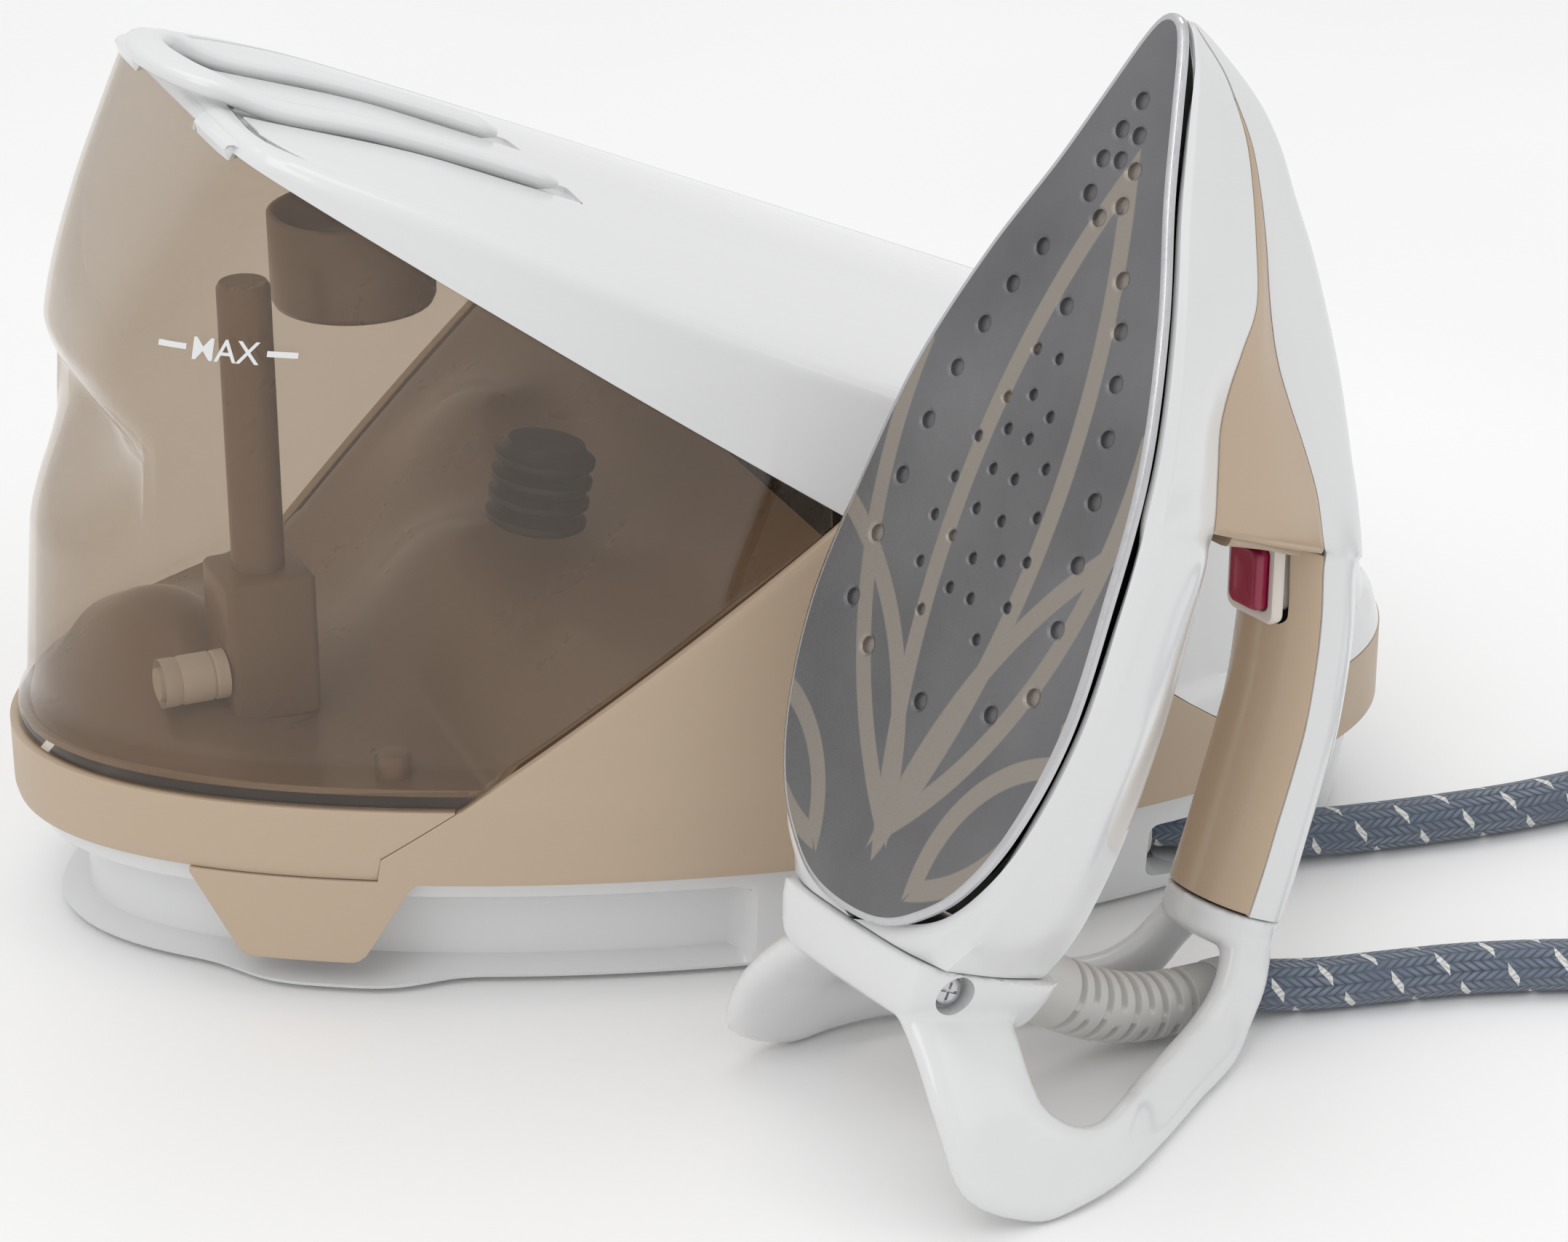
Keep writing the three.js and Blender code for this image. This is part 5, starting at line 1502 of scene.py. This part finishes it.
def build_tie():
    """Strap round both turns on the floor and the one on top."""
    half_w, top = 16.2, 31.2
    corners = [
        (-half_w, 2.5), (-half_w, 20), (-9, top), (9, top), (half_w, 20), (half_w, 2.5),
        (half_w - 4, 0.35), (-half_w + 4, 0.35),
    ]
    outline = spline(corners, 120, closed=True)
    inner = outline * (0.93, 0.955) + (0, 0.75)
    at = np.array([COIL_AT[0] + COIL_MID, COIL_AT[1]])
    rows = []
    for line, y in ((outline, -4), (outline, 4), (inner, 4), (inner, -4)):
        rows.append(np.column_stack([line[:, 0] + at[0], np.full(len(line), at[1] + y), line[:, 1]]))
    return softened(outward(grid_object("tie", np.array(rows), wrap_rows=True, wrap_cols=True)), 0.3, 2, 40)


tie = build_tie()
piece(tie, "base", BLACK, "black_plastic", "coil_tie")

# ---------------------------------------------------------------- CAD nodes that stay
for name, material in {
    "bulkhead": BEIGE, "boiler": STEEL, "steam_valve": BRASS, "boiler_heater": STEEL, "pump": BLACK,
    "control_board": BOARD, "heat_shield": BLACK, "heater_block": STEEL, "trigger_spring": STEEL,
    "trigger_switch": BLACK,
}.items():
    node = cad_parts[name]
    if not node.material_slots:
        node.data.materials.append(material)
    for s in node.material_slots:
        s.material = material

# ---------------------------------------------------------------- studio
def build_studio():
    mesh = bpy.data.meshes.new("floor")
    bm = bmesh.new()
    bmesh.ops.create_grid(bm, x_segments=8, y_segments=8, size=6)
    bm.to_mesh(mesh)
    bm.free()
    floor = linked("floor", mesh)
    n = Nodes("floor_white")
    white = n.mix(n.ramp(n.noise(3, 2), 0.3, 0.7), (0.93, 0.93, 0.93, 1), (0.96, 0.96, 0.96, 1))
    n.principled(Base_Color=white, Roughness=0.55)
    mesh.materials.append(n.material)
    world = bpy.data.worlds.new("studio")
    world.use_nodes = True
    world.node_tree.nodes["Background"].inputs[0].default_value = (1, 1, 1, 1)
    world.node_tree.nodes["Background"].inputs[1].default_value = 0.8
    bpy.context.scene.world = world

    def soft_box(name, at, aim, size, power):
        light = bpy.data.lights.new(name, "AREA")
        light.shape = "RECTANGLE"
        light.size, light.size_y = size
        light.energy = power
        box = linked(name, light)
        box.location = at
        box.rotation_euler = (Vector(aim) - Vector(at)).to_track_quat("-Z", "Y").to_euler()

    soft_box("key", (-1.2, -1.0, 1.9), (0, 0, 0.1), (1.2, 1.2), 9)
    soft_box("fill", (1.5, -1.3, 1.3), (0, 0, 0.1), (1.2, 1.4), 3)
    soft_box("top", (0, 0.3, 2.2), (0, 0, 0), (1.6, 1.2), 7)


build_studio()
view = bpy.context.scene.view_settings
view.view_transform = "Standard"
